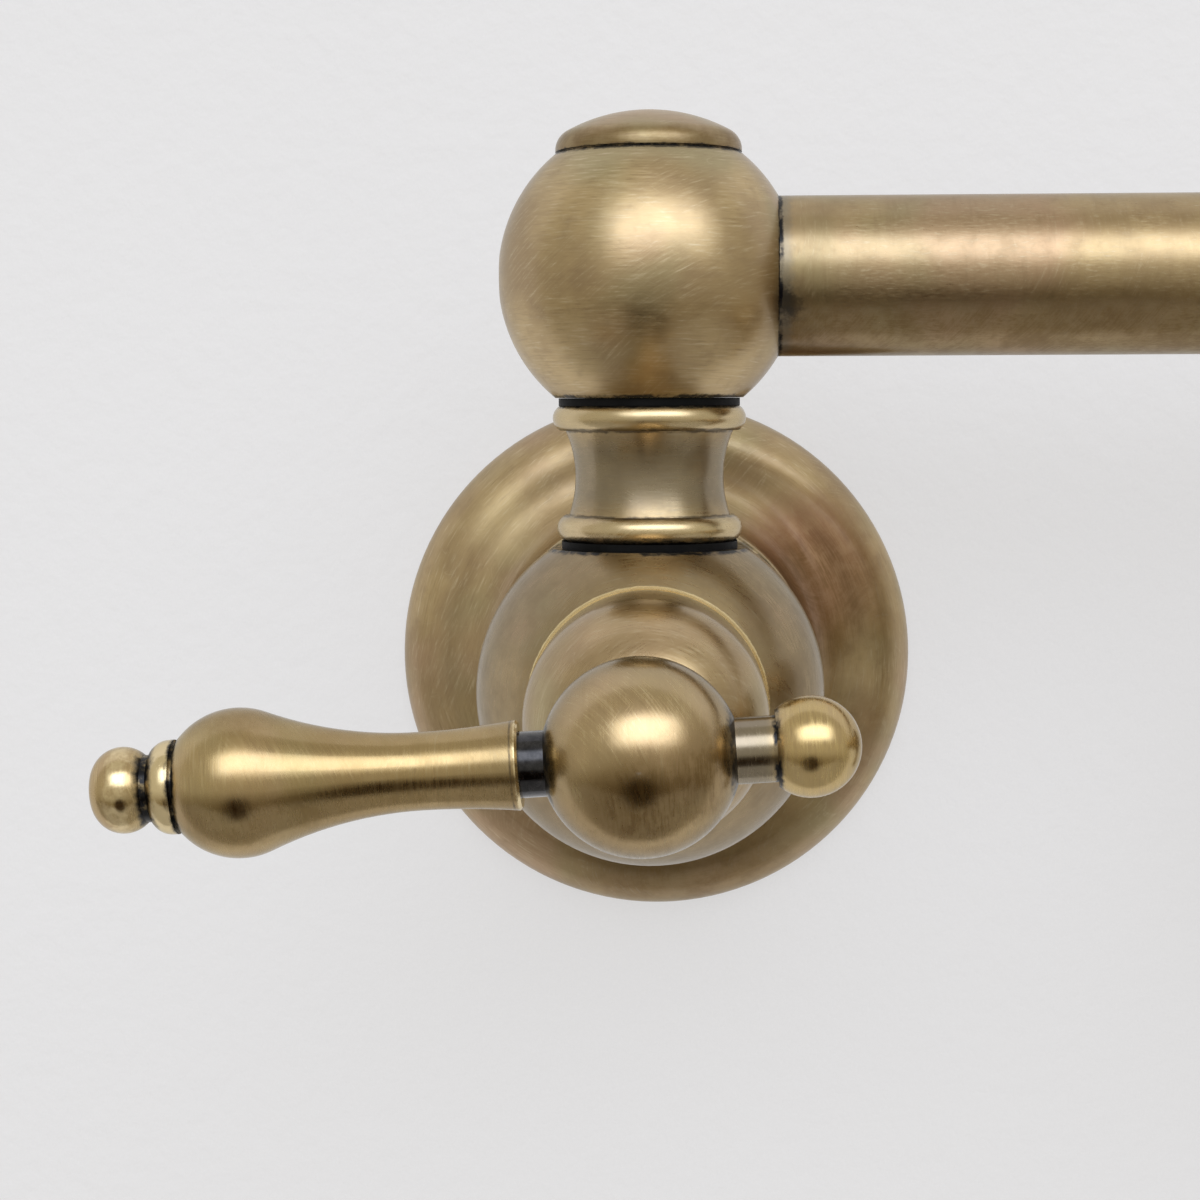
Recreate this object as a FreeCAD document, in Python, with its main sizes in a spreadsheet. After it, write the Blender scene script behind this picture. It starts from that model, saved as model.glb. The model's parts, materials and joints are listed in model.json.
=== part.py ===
"""Wall mounted pot filler: a wall valve, two swinging arms on ball elbows, an outlet valve and a spout.

Lengths are in millimetres. X runs along the wall to the right, +Z is up, and the object stands out from
the wall along -Y. The origin is the centre of the threaded inlet at the wall plane. At rest the arms are
folded: the first points along +X and the second comes back under it.
"""
import FreeCAD, Part
import math
import operator
import os

import Sketcher

SIZES = [
    # Whole object
    ("axis_reach", 48.0, "wall to the swivel axis and to the valve ball's centre"),
    ("arm_one", 300.0, "first arm, swivel axis to swivel axis"),
    ("arm_two", 194.0, "second arm, swivel axis to outlet axis"),
    ("lever_droop", 3.75, "degrees that a closed lever hangs below level"),
    ("fit_gap", 0.05, "radial gap of every fit"),
    ("face_gap", 0.05, "running gap between faces that turn on each other"),
    # Wall plate
    ("plate_r", 36.3, "outer radius"),
    ("plate_edge", 1.2, "straight edge at the wall"),
    ("plate_roll", 7.35, "radius of the quarter-round rim"),
    ("plate_wall", 1.4, "thickness of the spun dish"),
    ("collar_r", 21.5, "outer radius of the collar"),
    ("collar_reach", 25.0, "wall to the collar's front"),
    ("collar_round", 0.8, "rounding of the collar's front edge"),
    ("collar_web", 6.5, "depth of the collar's bore"),
    ("collar_gap", 0.5, "radial gap between the collar and the valve neck"),
    ("seal_width", 2.4, "radial width of the rim seal"),
    # Valve balls
    ("body_r", 21.7, "valve ball radius"),
    ("boss_flat_r", 12.12, "radius of the flat that a spool stands on"),
    ("body_neck_r", 13.5, "rear neck radius"),
    ("seat_ring_r", 14.3, "radius of the flat that faces the bonnet"),
    ("inlet_r", 9.315, "inlet wall radius, inside the crests of a G 1/2 thread"),
    ("inlet_len", 14.0, "length of the inlet thread"),
    ("strainer_r", 8.2, "radius of the strainer's recess"),
    ("strainer_t", 2.4, "depth of the strainer's recess"),
    ("passage_r", 7.0, "water way behind the seat"),
    ("chamber_r", 10.5, "bore that takes the cartridge"),
    ("seat_back", 1.0, "ball centre back to the cartridge seat"),
    ("seat_wall", 2.5, "thickness of the seat wall"),
    ("seat_hole_r", 4.5, "hole through the seat wall"),
    ("strainer_hole_r", 0.6, "hole in the strainer"),
    ("strainer_pitch", 2.0, "distance between its rings of holes"),
    ("rear_flat_r", 4.0, "turned flat at the back of the outlet ball"),
    ("rear_room_r", 6.0, "room behind the outlet seat"),
    ("rear_room_back", 12.0, "ball centre to the back of that room"),
    ("feed_r", 3.0, "drilled feed from the arm to that room"),
    ("feed_back", 5.5, "ball centre back to the feed's axis"),
    ("outlet_socket", 14.0, "outlet ball centre to the end of its tube socket"),
    # Cartridge
    ("cup_seal_t", 2.2, "rubber seat seal thickness"),
    ("cup_gap", 0.1, "radial gap between the housing's skirt and the discs"),
    ("disc_r", 8.0, "ceramic disc radius"),
    ("disc_t", 2.5, "ceramic disc thickness"),
    ("port_in", 3.2, "inner radius of a disc port"),
    ("port_out", 6.6, "outer radius of a disc port"),
    ("skirt_wall", 1.0, "wall of the housing round the discs"),
    ("skirt_grip", 0.7, "how far that skirt reaches down over the seat seal"),
    ("head_t", 3.0, "spindle head thickness"),
    ("head_r", 6.2, "spindle head radius"),
    ("window_width", 7.0, "side window of the housing"),
    ("window_sill", 0.4, "head's foot or top to the window's edge"),
    ("flange_r", 12.2, "housing flange radius"),
    ("flange_gap", 0.15, "radial gap between the flange and the bonnet"),
    ("flange_t", 3.0, "housing flange thickness"),
    ("housing_neck_r", 7.5, "housing neck radius"),
    ("housing_neck_len", 10.0, "housing neck length"),
    ("spindle_r", 4.0, "spindle radius"),
    ("drive_r", 3.6, "spindle radius inside the lever hub"),
    ("tongue_long", 5.0, "drive tongue length"),
    ("tongue_wide", 2.2, "drive tongue width"),
    ("tongue_deep", 1.3, "drive tongue depth"),
    ("ring_r", 0.55, "section radius of the spindle O-ring"),
    ("ring_room", 0.25, "room beside that O-ring in its groove"),
    # Bonnet
    ("bonnet_r", 14.0, "band radius"),
    ("bonnet_gap", 0.4, "open joint between the seat ring and the bonnet"),
    ("bonnet_edge", 0.3, "rear edge chamfer"),
    ("bonnet_band", 12.0, "seat ring to where the bonnet's dome starts"),
    ("bonnet_dome", 12.5, "radius of the dome's outline"),
    ("bonnet_neck_r", 7.4, "neck radius"),
    ("bonnet_len", 31.1, "seat ring to the bonnet's front face"),
    ("bonnet_room", 0.6, "radial gap round the spindle"),
    ("thread_room", 1.0, "room past the end of a thread"),
    ("boss_gap", 0.5, "radial gap round the hub boss"),
    # Lever
    ("hub_out", 39.9, "seat ring to hub centre"),
    ("hub_r", 10.3, "hub ball radius"),
    ("hub_flat_r", 6.5, "flat at the back of the hub"),
    ("hub_boss_r", 5.3, "boss that enters the bonnet"),
    ("hub_boss_len", 12.9, "hub centre to the end of the boss"),
    ("stem_r", 3.4, "dark stem on each side of the hub"),
    ("stem_seat", 8.85, "hub centre to the seat of a stem"),
    ("rod_r", 2.45, "threaded rod inside the lever"),
    ("rod_inner", 4.2, "hub centre to the inner end of a rod"),
    ("end_room", 0.2, "room past the end of a shaft in its blind bore"),
    ("skirt_at", 12.25, "hub centre to the handle's skirt"),
    ("skirt_r", 4.63, "skirt radius"),
    ("skirt_edge", 0.25, "skirt chamfer"),
    ("skirt_depth", 3.75, "depth of the stem's seat in the handle"),
    ("waist_at", 22.5, "hub centre to the handle's waist"),
    ("waist_r", 4.0, "waist radius"),
    ("bulb_at", 41.1, "hub centre to the bulb's centre"),
    ("bulb_r", 7.9, "radius of the bulb's outline"),
    ("bulb_low", 0.2, "bulb outline's centre past the lever's axis"),
    ("bulb_end", 47.2, "hub centre to the end of the handle"),
    ("disc_foot_r", 4.2, "groove between the handle and the finial disc"),
    ("disc_foot_t", 0.4, "width of that groove"),
    ("finial_disc_r", 4.85, "finial disc radius"),
    ("finial_disc_t", 0.5, "straight edge of the finial disc"),
    ("finial_slope", 2.2, "radius of the disc's rounded face"),
    ("finial_neck_r", 3.45, "neck between the disc and the finial ball"),
    ("finial_neck_at", 50.4, "hub centre to the neck"),
    ("finial_at", 53.1, "hub centre to the finial ball's centre"),
    ("finial_r", 3.25, "radius of the finial's rounding"),
    ("finial_flat_r", 1.2, "flat at the finial's tip"),
    ("finial_hole", 51.6, "hub centre to the bottom of the finial's thread"),
    ("counter_at", 17.25, "hub centre to the counter finial's centre"),
    ("counter_r", 5.2, "counter finial radius"),
    ("counter_foot", 13.84, "hub centre to the counter finial's foot"),
    ("grub_r", 2.0, "set screw radius, M4"),
    ("grub_len", 5.0, "set screw length"),
    ("grub_back", 4.4, "hub centre back to the set screw's axis"),
    ("grub_key_r", 1.15, "corner radius of its hexagon socket"),
    ("grub_key_deep", 2.0, "depth of that socket"),
    # Spool between a ball boss and an elbow
    ("gasket_t", 0.9, "gasket under the spool"),
    ("gasket_r", 10.9, "gasket radius"),
    ("spool_len", 16.65, "spool height"),
    ("bead_low_r", 11.5, "lower bead radius"),
    ("bead_low_t", 3.2, "lower bead height"),
    ("bead_high_r", 11.95, "upper bead radius"),
    ("bead_high_t", 3.0, "upper bead height"),
    ("bead_round", 1.75, "radius of a bead's outline"),
    ("waist_low_r", 10.0, "spool radius above the lower bead"),
    ("waist_high_r", 10.4, "spool radius under the upper bead"),
    ("waist_curve", 14.0, "radius of the spool's hollow outline"),
    ("spool_bore", 5.5, "water way through a spool"),
    ("stub_room", 1.0, "depth that a boss bore cuts into the chamber"),
    ("stub_short", 0.7, "end of the middle spool's stub to the elbow's chamber"),
    # Swivel
    ("post_r", 8.0, "radius of a swivel post and of a spool's threaded stub"),
    ("post_foot_r", 7.5, "threaded foot radius"),
    ("post_foot_len", 9.0, "threaded foot length"),
    ("post_bore", 5.0, "water way in the post"),
    ("post_port_r", 3.0, "cross drilling"),
    ("post_roof", 4.0, "bore past the cross drilling's axis"),
    ("post_thread_r", 5.9, "thread radius for the nut"),
    ("groove_wide", 2.0, "O-ring groove width"),
    ("groove_deep", 1.4, "O-ring groove depth"),
    ("post_ring_r", 0.7, "O-ring section radius"),
    ("low_groove", 4.0, "shoulder to the lower groove"),
    ("high_groove", 0.85, "upper groove to the post's upper shoulder"),
    ("swivel_gap", 1.0, "height between a spool and its elbow"),
    ("washer_r", 11.2, "black swivel washer radius"),
    ("washer_gap", 0.3, "radial gap between washer and post"),
    ("thrust_t", 0.8, "thrust washer thickness"),
    ("thrust_gap", 0.6, "radial gap between the thrust washer and the elbow"),
    ("nut_r", 8.0, "nut corner radius"),
    ("nut_t", 3.2, "nut thickness"),
    # Elbow ball and cap
    ("ball_arc", 19.2, "radius of the elbow's barrel outline"),
    ("ball_low", 0.63, "outline centre past the axis"),
    ("ball_end_r", 11.6, "radius of either flat end"),
    ("ball_room_r", 12.5, "chamber radius"),
    ("bearing_len", 8.2, "flat end to the chamber"),
    ("shelf_deep", 4.6, "flat end to the thrust washer's shelf"),
    ("ball_socket", 12.7, "elbow centre to the end of its tube socket"),
    ("pole_flat", 0.3, "depth of the turned flat opposite the tube"),
    ("pole_flat_r", 5.0, "radius of the cut for that flat"),
    ("cap_inset", 0.15, "flat end's edge in to the cap's side"),
    ("cap_seam", 0.35, "height of the dark seam under the cap"),
    ("cap_seam_deep", 0.6, "depth of that seam"),
    ("cap_side", 0.25, "straight side above the seam"),
    ("cap_round", 2.6, "radius of the cap's rounded edge"),
    ("cap_edge", 1.42, "cap's side in to where the dome starts"),
    ("cap_dome_foot", 2.92, "height where the dome starts"),
    ("cap_top", 5.45, "height of the dome"),
    ("cap_wall", 1.75, "elbow's wall round the cap's thread"),
    ("cap_skirt_len", 3.0, "threaded skirt length"),
    ("cap_skirt_wall", 1.3, "wall of the skirt"),
    ("cap_roof", 2.0, "height of the hollow in the cap"),
    # Arm tubes
    ("tube_r", 9.8, "outer radius"),
    ("tube_wall", 1.2, "wall"),
    # Spout
    ("nozzle_r", 9.0, "threaded end radius"),
    ("nozzle_len", 7.0, "threaded end length"),
    ("aerator_wall", 2.4, "aerator housing wall outside the thread"),
    ("aerator_gap", 0.3, "seam over the aerator housing"),
    ("aerator_len", 11.6, "aerator housing length"),
    ("aerator_edge", 0.5, "aerator housing edge"),
    ("aerator_lip", 1.0, "lip that carries the insert"),
    ("aerator_ledge", 1.0, "thread radius in to the mouth's radius"),
    ("insert_t", 2.7, "aerator insert thickness"),
    ("insert_hole_r", 0.65, "hole in the aerator insert"),
    ("insert_pitch", 2.0, "distance between its rings of holes"),
    ("insert_washer_wide", 2.45, "radial width of the aerator washer"),
]

FORWARD = FreeCAD.Rotation(FreeCAD.Vector(1, 0, 0), 90)
DOWNWARD = FreeCAD.Rotation(FreeCAD.Vector(1, 0, 0), 180)
REVERSED = FreeCAD.Rotation(FreeCAD.Vector(0, 0, 1), 180)
ALONG_X = FreeCAD.Rotation(FreeCAD.Vector(0, 1, 0), 90)
UPRIGHT = FreeCAD.Rotation()
PORT_HALF_ANGLE = math.radians(35)
OVERCUT = 1.0
OPERATIONS = {"+": operator.add, "-": operator.sub, "*": operator.mul, "/": operator.truediv}

document = FreeCAD.newDocument("PotFiller")


class Size:
    """A number together with the sheet expression that drives it."""

    def __init__(self, value, text):
        self.value = value
        self.text = text

    def __add__(self, other):
        return combined(self, "+", other)

    def __sub__(self, other):
        return combined(self, "-", other)

    def __mul__(self, other):
        return combined(self, "*", other)

    def __truediv__(self, other):
        return combined(self, "/", other)

    def __neg__(self):
        return combined(0.0, "-", self)


def sized(number):
    return number if isinstance(number, Size) else Size(float(number), repr(float(number)))


def combined(first, sign, second):
    first = sized(first)
    second = sized(second)
    return Size(OPERATIONS[sign](first.value, second.value), f"({first.text} {sign} {second.text})")


def root(size):
    return Size(math.sqrt(size.value), f"sqrt({size.text})")


def across(radius, offset):
    """Half the chord of a circle at a distance from its centre."""
    return root(radius * radius - offset * offset)


class Sheet:
    """The driving sizes, each read as an attribute with its alias as the name."""

    def __init__(self):
        self.cells = document.addObject("Spreadsheet::Sheet", "Sizes")
        for row, (alias, value, meaning) in enumerate(SIZES, start=1):
            self.cells.set(f"A{row}", meaning)
            self.cells.set(f"B{row}", str(value))
            self.cells.setAlias(f"B{row}", alias)
        document.recompute()

    def __getattr__(self, alias):
        return Size(self.cells.get(alias), f"Sizes.{alias}")


s = Sheet()


# ---------------------------------------------------------------- drawing helpers

def left(radius):
    return ("left", sized(radius))


def right(radius):
    return ("right", sized(radius))


def new_body(label):
    body = document.addObject("PartDesign::Body", label)
    body.Label = label
    return body


def new_sketch(body, role, name, shift=None):
    """A sketch on one of the body's own planes; shift moves it by sizes along the sketch's own axes."""
    plane = [feature for feature in body.Origin.OriginFeatures if feature.Role == role][0]
    sketch = body.newObject("Sketcher::SketchObject", name)
    sketch.AttachmentSupport = [(plane, "")]
    sketch.MapMode = "FlatFace"
    if shift:
        numbers = [sized(size).value for size in shift]
        sketch.AttachmentOffset = FreeCAD.Placement(FreeCAD.Vector(*numbers), FreeCAD.Rotation())
        for axis, size in zip("xyz", shift):
            if isinstance(size, Size):
                sketch.setExpression(f"AttachmentOffset.Base.{axis}", size.text)
    return sketch


def bind(sketch, constraint, size):
    """Add a constraint whose last value is the size, driven by the sheet."""
    index = sketch.addConstraint(Sketcher.Constraint(*constraint, size.value))
    sketch.setExpression(f"Constraints[{index}]", size.text)


def pin_point(sketch, edge, end, x, y):
    """Hold one end of an edge at (x, y), or on an axis where the coordinate is a plain 0."""
    for size, kind, axis in ((x, "DistanceX", -2), (y, "DistanceY", -1)):
        if isinstance(size, Size):
            bind(sketch, (kind, -1, 1, edge, end), size)
        else:
            sketch.addConstraint(Sketcher.Constraint("PointOnObject", edge, end, axis))


def arc_between(start, end, side, radius):
    """The shorter arc from start to end, turning to the given side; it is drawn counter-clockwise."""
    chord = end - start
    height = math.sqrt(radius**2 - (chord.Length / 2) ** 2)
    normal = FreeCAD.Vector(-chord.y, chord.x, 0).normalize()
    centre = (start + end) * 0.5 + normal * (height if side == "left" else -height)
    first, last = (start, end) if side == "left" else (end, start)
    angles = [math.atan2(point.y - centre.y, point.x - centre.x) for point in (first, last)]
    circle = Part.Circle(centre, FreeCAD.Vector(0, 0, 1), radius)
    return Part.ArcOfCircle(circle, angles[0], angles[1])


def draw_outline(sketch, corners):
    """Close a loop through the corners.

    A corner is (x, y), or (x, y, left(radius)) or (x, y, right(radius)) where a round edge arrives.
    """
    places = [FreeCAD.Vector(sized(corner[0]).value, sized(corner[1]).value, 0) for corner in corners]
    ends = []
    for index, corner in enumerate(corners):
        start = places[index - 1]
        end = places[index]
        if len(corner) == 2:
            sketch.addGeometry(Part.LineSegment(start, end))
            ends.append((1, 2))
            continue
        side, radius = corner[2]
        edge = sketch.addGeometry(arc_between(start, end, side, radius.value))
        bind(sketch, ("Radius", edge), radius)
        ends.append((1, 2) if side == "left" else (2, 1))
    for index, (x, y, *_) in enumerate(corners):
        before = index - 1 if index else len(corners) - 1
        joined = (before, ends[before][1], index, ends[index][0])
        sketch.addConstraint(Sketcher.Constraint("Coincident", *joined))
        pin_point(sketch, index, ends[index][1], x, y)


def turned(label, corners):
    """A body turned about its own Z axis from an outline in its XZ plane."""
    body = new_body(label)
    sketch = new_sketch(body, "XZ_Plane", f"{label}_outline")
    draw_outline(sketch, corners)
    feature = body.newObject("PartDesign::Revolution", f"{label}_turned")
    feature.Profile = sketch
    feature.ReferenceAxis = (sketch, ["V_Axis"])
    feature.Angle = 360
    return body


def bored(body, role, axis, corners, shift=None):
    """Take a round shape out of a body, turned about its sketch's H_Axis or V_Axis."""
    sketch = new_sketch(body, role, f"{body.Label}_bore", shift)
    draw_outline(sketch, corners)
    feature = body.newObject("PartDesign::Groove", f"{body.Label}_bored")
    feature.Profile = sketch
    feature.ReferenceAxis = (sketch, [axis])
    feature.Angle = 360
    return feature


def draw_circle(sketch, radius, x=0, y=0):
    centre = FreeCAD.Vector(sized(x).value, sized(y).value, 0)
    edge = sketch.addGeometry(Part.Circle(centre, FreeCAD.Vector(0, 0, 1), radius.value))
    bind(sketch, ("Radius", edge), radius)
    pin_point(sketch, edge, 3, x, y)


def padded(body, sketch, length, downward=False):
    feature = body.newObject("PartDesign::Pad", f"{body.Label}_pad")
    feature.Profile = sketch
    feature.Length = length.value
    feature.setExpression("Length", length.text)
    feature.Reversed = downward
    return feature


def cut_through(body, sketch):
    """Cut a sketch through the whole body, to both sides of its plane."""
    feature = body.newObject("PartDesign::Pocket", f"{body.Label}_cut")
    feature.Profile = sketch
    feature.Type = "ThroughAll"
    feature.Midplane = True
    return feature


def repeated(body, feature, sketch, axis, count):
    """Repeat a cut round an axis of its sketch."""
    pattern = body.newObject("PartDesign::PolarPattern", f"{body.Label}_pattern")
    pattern.Originals = [feature]
    pattern.Axis = (sketch, [axis])
    pattern.Angle = 360
    pattern.Occurrences = count
    body.Tip = pattern


def place(piece, x=0, y=0, z=0, turn=UPRIGHT):
    """Put a piece in the object's frame; its place follows the sizes."""
    numbers = [sized(size).value for size in (x, y, z)]
    piece.Placement = FreeCAD.Placement(FreeCAD.Vector(*numbers), turn)
    for axis, size in zip("xyz", (x, y, z)):
        if isinstance(size, Size):
            piece.setExpression(f"Placement.Base.{axis}", size.text)
    return piece


def primitive(kind, label, **sizes):
    piece = document.addObject(kind, label)
    piece.Label = label
    for name, size in sizes.items():
        setattr(piece, name, size.value)
        piece.setExpression(name, size.text)
    return piece


def torus(label, ring_r, section_r):
    return primitive("Part::Torus", label, Radius1=ring_r, Radius2=section_r)


def difference(label, base, tool):
    cut = document.addObject("Part::Cut", label)
    cut.Label = label
    cut.Base = base
    cut.Tool = tool
    return cut


# ---------------------------------------------------------------- wall plate

def escutcheon():
    crest_r = s.plate_r - s.plate_roll
    crest = s.plate_edge + s.plate_roll
    cove = crest_r - s.collar_r
    cove_top = crest + cove
    bore = s.body_neck_r + s.collar_gap
    groove_root = bore + s.collar_gap
    groove_mid = s.collar_reach - s.collar_web / 2
    groove_half = s.collar_gap + s.ring_room / 2
    inner_collar = s.collar_r - s.plate_wall
    inner_rim = s.plate_r - s.plate_wall
    corners = [
        (s.plate_r, 0),
        (s.plate_r, s.plate_edge),
        (crest_r, crest, left(s.plate_roll)),
        (s.collar_r, cove_top, right(cove)),
        (s.collar_r, s.collar_reach - s.collar_round),
        (s.collar_r - s.collar_round, s.collar_reach, left(s.collar_round)),
        (bore, s.collar_reach),
        (bore, groove_mid + groove_half),
        (groove_root, groove_mid + groove_half),
        (groove_root, groove_mid - groove_half),
        (bore, groove_mid - groove_half),
        (bore, s.collar_reach - s.collar_web),
        (inner_collar, s.collar_reach - s.collar_web),
        (inner_collar, cove_top),
        (crest_r, crest - s.plate_wall, left(cove + s.plate_wall)),
        (inner_rim, s.plate_edge, right(s.plate_roll - s.plate_wall)),
        (inner_rim, 0),
    ]
    return place(turned("escutcheon", corners), turn=FORWARD)


def escutcheon_seal():
    outer = s.plate_r - s.plate_wall - s.fit_gap
    inner = outer - s.seal_width
    corners = [(inner, 0), (outer, 0), (outer, s.plate_edge), (inner, s.plate_edge)]
    return place(turned("escutcheon_seal", corners), turn=FORWARD)


def escutcheon_o_ring():
    section = s.collar_gap - s.fit_gap / 2
    ring = torus("escutcheon_o_ring", s.body_neck_r + s.collar_gap, section)
    return place(ring, y=-(s.collar_reach - s.collar_web / 2), turn=FORWARD)


# ---------------------------------------------------------------- valve balls

def ball_front():
    """Valve ball's centre to its seat ring."""
    return across(s.body_r, s.seat_ring_r)


def boss_height():
    """Valve ball's centre to the flat that a spool stands on."""
    return across(s.body_r, s.boss_flat_r)


def seat_corners():
    """The front of a valve ball and the seat inside it, from the outside inwards."""
    front = ball_front()
    return [
        (s.seat_ring_r, front, left(s.body_r)),
        (s.chamber_r, front),
        (s.chamber_r, -s.seat_back),
        (s.seat_hole_r, -s.seat_back),
        (s.seat_hole_r, -(s.seat_back + s.seat_wall)),
    ]


def cut_boss(body, upward):
    """Flatten the ball for a spool and bore it for the spool's stub, above or below."""
    side = 1.0 if upward else -1.0
    bore = s.post_r + s.fit_gap
    bottom = (s.chamber_r - s.stub_room) * side
    flat = boss_height() * side
    outside = (s.body_r + OVERCUT) * side
    corners = [
        (0, bottom),
        (bore, bottom),
        (bore, flat),
        (s.body_r, flat),
        (s.body_r, outside),
        (0, outside),
    ]
    bored(body, "XY_Plane", "V_Axis", corners)


def valve_body():
    """The wall valve: a ball on a neck whose rear end takes the supply's thread."""
    behind_seat = -(s.seat_back + s.seat_wall)
    thread_end = -(s.axis_reach - s.inlet_len)
    corners = [
        (s.inlet_r, -s.axis_reach),
        (s.body_neck_r, -s.axis_reach),
        (s.body_neck_r, -across(s.body_r, s.body_neck_r)),
        *seat_corners(),
        (s.passage_r, behind_seat),
        (s.passage_r, thread_end + s.strainer_t),
        (s.strainer_r, thread_end + s.strainer_t),
        (s.strainer_r, thread_end),
        (s.inlet_r, thread_end),
    ]
    body = turned("valve_body", corners)
    cut_boss(body, upward=True)
    return place(body, y=-s.axis_reach, turn=FORWARD)


def outlet_body():
    """The outlet valve: the same ball, fed from the side, with its spout boss below."""
    behind_seat = -(s.seat_back + s.seat_wall)
    corners = [
        (0, -across(s.body_r, s.rear_flat_r)),
        (s.rear_flat_r, -across(s.body_r, s.rear_flat_r)),
        *seat_corners(),
        (s.rear_room_r, behind_seat),
        (s.rear_room_r, -s.rear_room_back),
        (0, -s.rear_room_back),
    ]
    body = turned("outlet_body", corners)
    cut_boss(body, upward=False)
    socket = s.tube_r + s.fit_gap
    outside = s.body_r + OVERCUT
    bored(body, "XY_Plane", "H_Axis", [
        (s.outlet_socket, 0),
        (outside, 0),
        (outside, socket),
        (s.outlet_socket, socket),
    ])
    bored(body, "XY_Plane", "H_Axis", [
        (s.feed_r, 0),
        (s.outlet_socket + OVERCUT, 0),
        (s.outlet_socket + OVERCUT, s.feed_r),
        (s.feed_r, s.feed_r),
    ], shift=(0, 0, -s.feed_back))
    return place(body, *outlet_place(), turn=FORWARD)


def screen(label, radius, thickness, hole_r, pitch):
    """A round perforated plate: a centre hole and as many rings of holes as its radius takes."""
    body = new_body(label)
    plate = new_sketch(body, "XY_Plane", f"{label}_plate")
    draw_circle(plate, radius)
    padded(body, plate, thickness)
    centre = new_sketch(body, "XY_Plane", f"{label}_centre")
    draw_circle(centre, hole_r)
    cut_through(body, centre)
    rings = int((radius.value - hole_r.value * 2) / pitch.value)
    for ring in range(1, rings + 1):
        sketch = new_sketch(body, "XY_Plane", f"{label}_ring")
        draw_circle(sketch, hole_r, x=pitch * float(ring))
        repeated(body, cut_through(body, sketch), sketch, "N_Axis", 6 * ring)
    return body


def inlet_strainer():
    radius = s.strainer_r - s.fit_gap
    thickness = s.strainer_t - s.face_gap
    body = screen("inlet_strainer", radius, thickness, s.strainer_hole_r, s.strainer_pitch)
    return place(body, y=-s.inlet_len, turn=FORWARD)


# ---------------------------------------------------------------- cartridge, from the seat forwards

def seal_top():
    return s.cup_seal_t - s.seat_back


def moving_base():
    return seal_top() + s.disc_t + s.face_gap


def head_base():
    return moving_base() + s.disc_t + s.face_gap


def ceiling():
    return head_base() + s.head_t + s.face_gap


def neck_base():
    return ball_front() + s.flange_t


def neck_top():
    return neck_base() + s.housing_neck_len


def ring_level():
    """Level of the spindle's O-ring, halfway up the housing's neck."""
    return neck_base() + s.housing_neck_len / 2


def bonnet_end():
    return ball_front() + s.bonnet_len


def hub_reach():
    return ball_front() + s.hub_out


def seat_seal(prefix):
    outer = s.disc_r - s.cup_gap
    corners = [
        (s.seat_hole_r, -s.seat_back),
        (outer, -s.seat_back),
        (outer, seal_top()),
        (s.seat_hole_r, seal_top()),
    ]
    return turned(f"{prefix}_seat_seal", corners)


def ceramic_disc(label, base):
    """A disc with two opposite ports, each a sector of 70 degrees."""
    body = new_body(label)
    plate = new_sketch(body, "XY_Plane", f"{label}_plate", shift=(0, 0, base))
    draw_circle(plate, s.disc_r)
    padded(body, plate, s.disc_t)
    port = new_sketch(body, "XY_Plane", f"{label}_port", shift=(0, 0, base))
    along = math.cos(PORT_HALF_ANGLE)
    aside = math.sin(PORT_HALF_ANGLE)
    draw_outline(port, [
        (s.port_in * along, -(s.port_in * aside), right(s.port_in)),
        (s.port_out * along, -(s.port_out * aside)),
        (s.port_out * along, s.port_out * aside, left(s.port_out)),
        (s.port_in * along, s.port_in * aside),
    ])
    repeated(body, cut_through(body, port), port, "N_Axis", 2)
    return body


def draw_rectangle(sketch, half_x, low_y, high_y):
    draw_outline(sketch, [(-half_x, low_y), (half_x, low_y), (half_x, high_y), (-half_x, high_y)])


def fixed_disc(prefix):
    return ceramic_disc(f"{prefix}_fixed_disc", seal_top())


def moving_disc(prefix):
    """The turning disc, with a slot in its top for the spindle's tongue."""
    label = f"{prefix}_moving_disc"
    body = ceramic_disc(label, moving_base())
    top = moving_base() + s.disc_t
    slot = new_sketch(body, "XY_Plane", f"{label}_slot", shift=(0, 0, top))
    half_wide = s.tongue_wide / 2 + s.fit_gap
    draw_rectangle(slot, s.tongue_long / 2 + s.fit_gap, -half_wide, half_wide)
    pocket = body.newObject("PartDesign::Pocket", f"{label}_slot_cut")
    pocket.Profile = slot
    depth = s.tongue_deep + s.face_gap * 2
    pocket.Length = depth.value
    pocket.setExpression("Length", depth.text)
    body.Tip = pocket
    return body


def cartridge_housing(prefix):
    label = f"{prefix}_cartridge_housing"
    front = ball_front()
    inner = s.disc_r + s.cup_gap
    outer = inner + s.skirt_wall
    foot = seal_top() - s.skirt_grip
    thread_r = s.chamber_r - s.fit_gap
    spindle_bore = s.spindle_r + s.fit_gap
    corners = [
        (inner, foot),
        (outer, foot),
        (outer, ceiling()),
        (thread_r, ceiling()),
        (thread_r, front),
        (s.flange_r, front),
        (s.flange_r, neck_base()),
        (s.housing_neck_r, neck_base()),
        (s.housing_neck_r, neck_top()),
        (spindle_bore, neck_top()),
        (spindle_bore, ceiling()),
        (inner, ceiling()),
    ]
    body = turned(label, corners)
    window = new_sketch(body, "XZ_Plane", f"{label}_window")
    draw_rectangle(window, s.window_width / 2, head_base() + s.window_sill, ceiling() - s.window_sill)
    cut_through(body, window)
    return body


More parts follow.
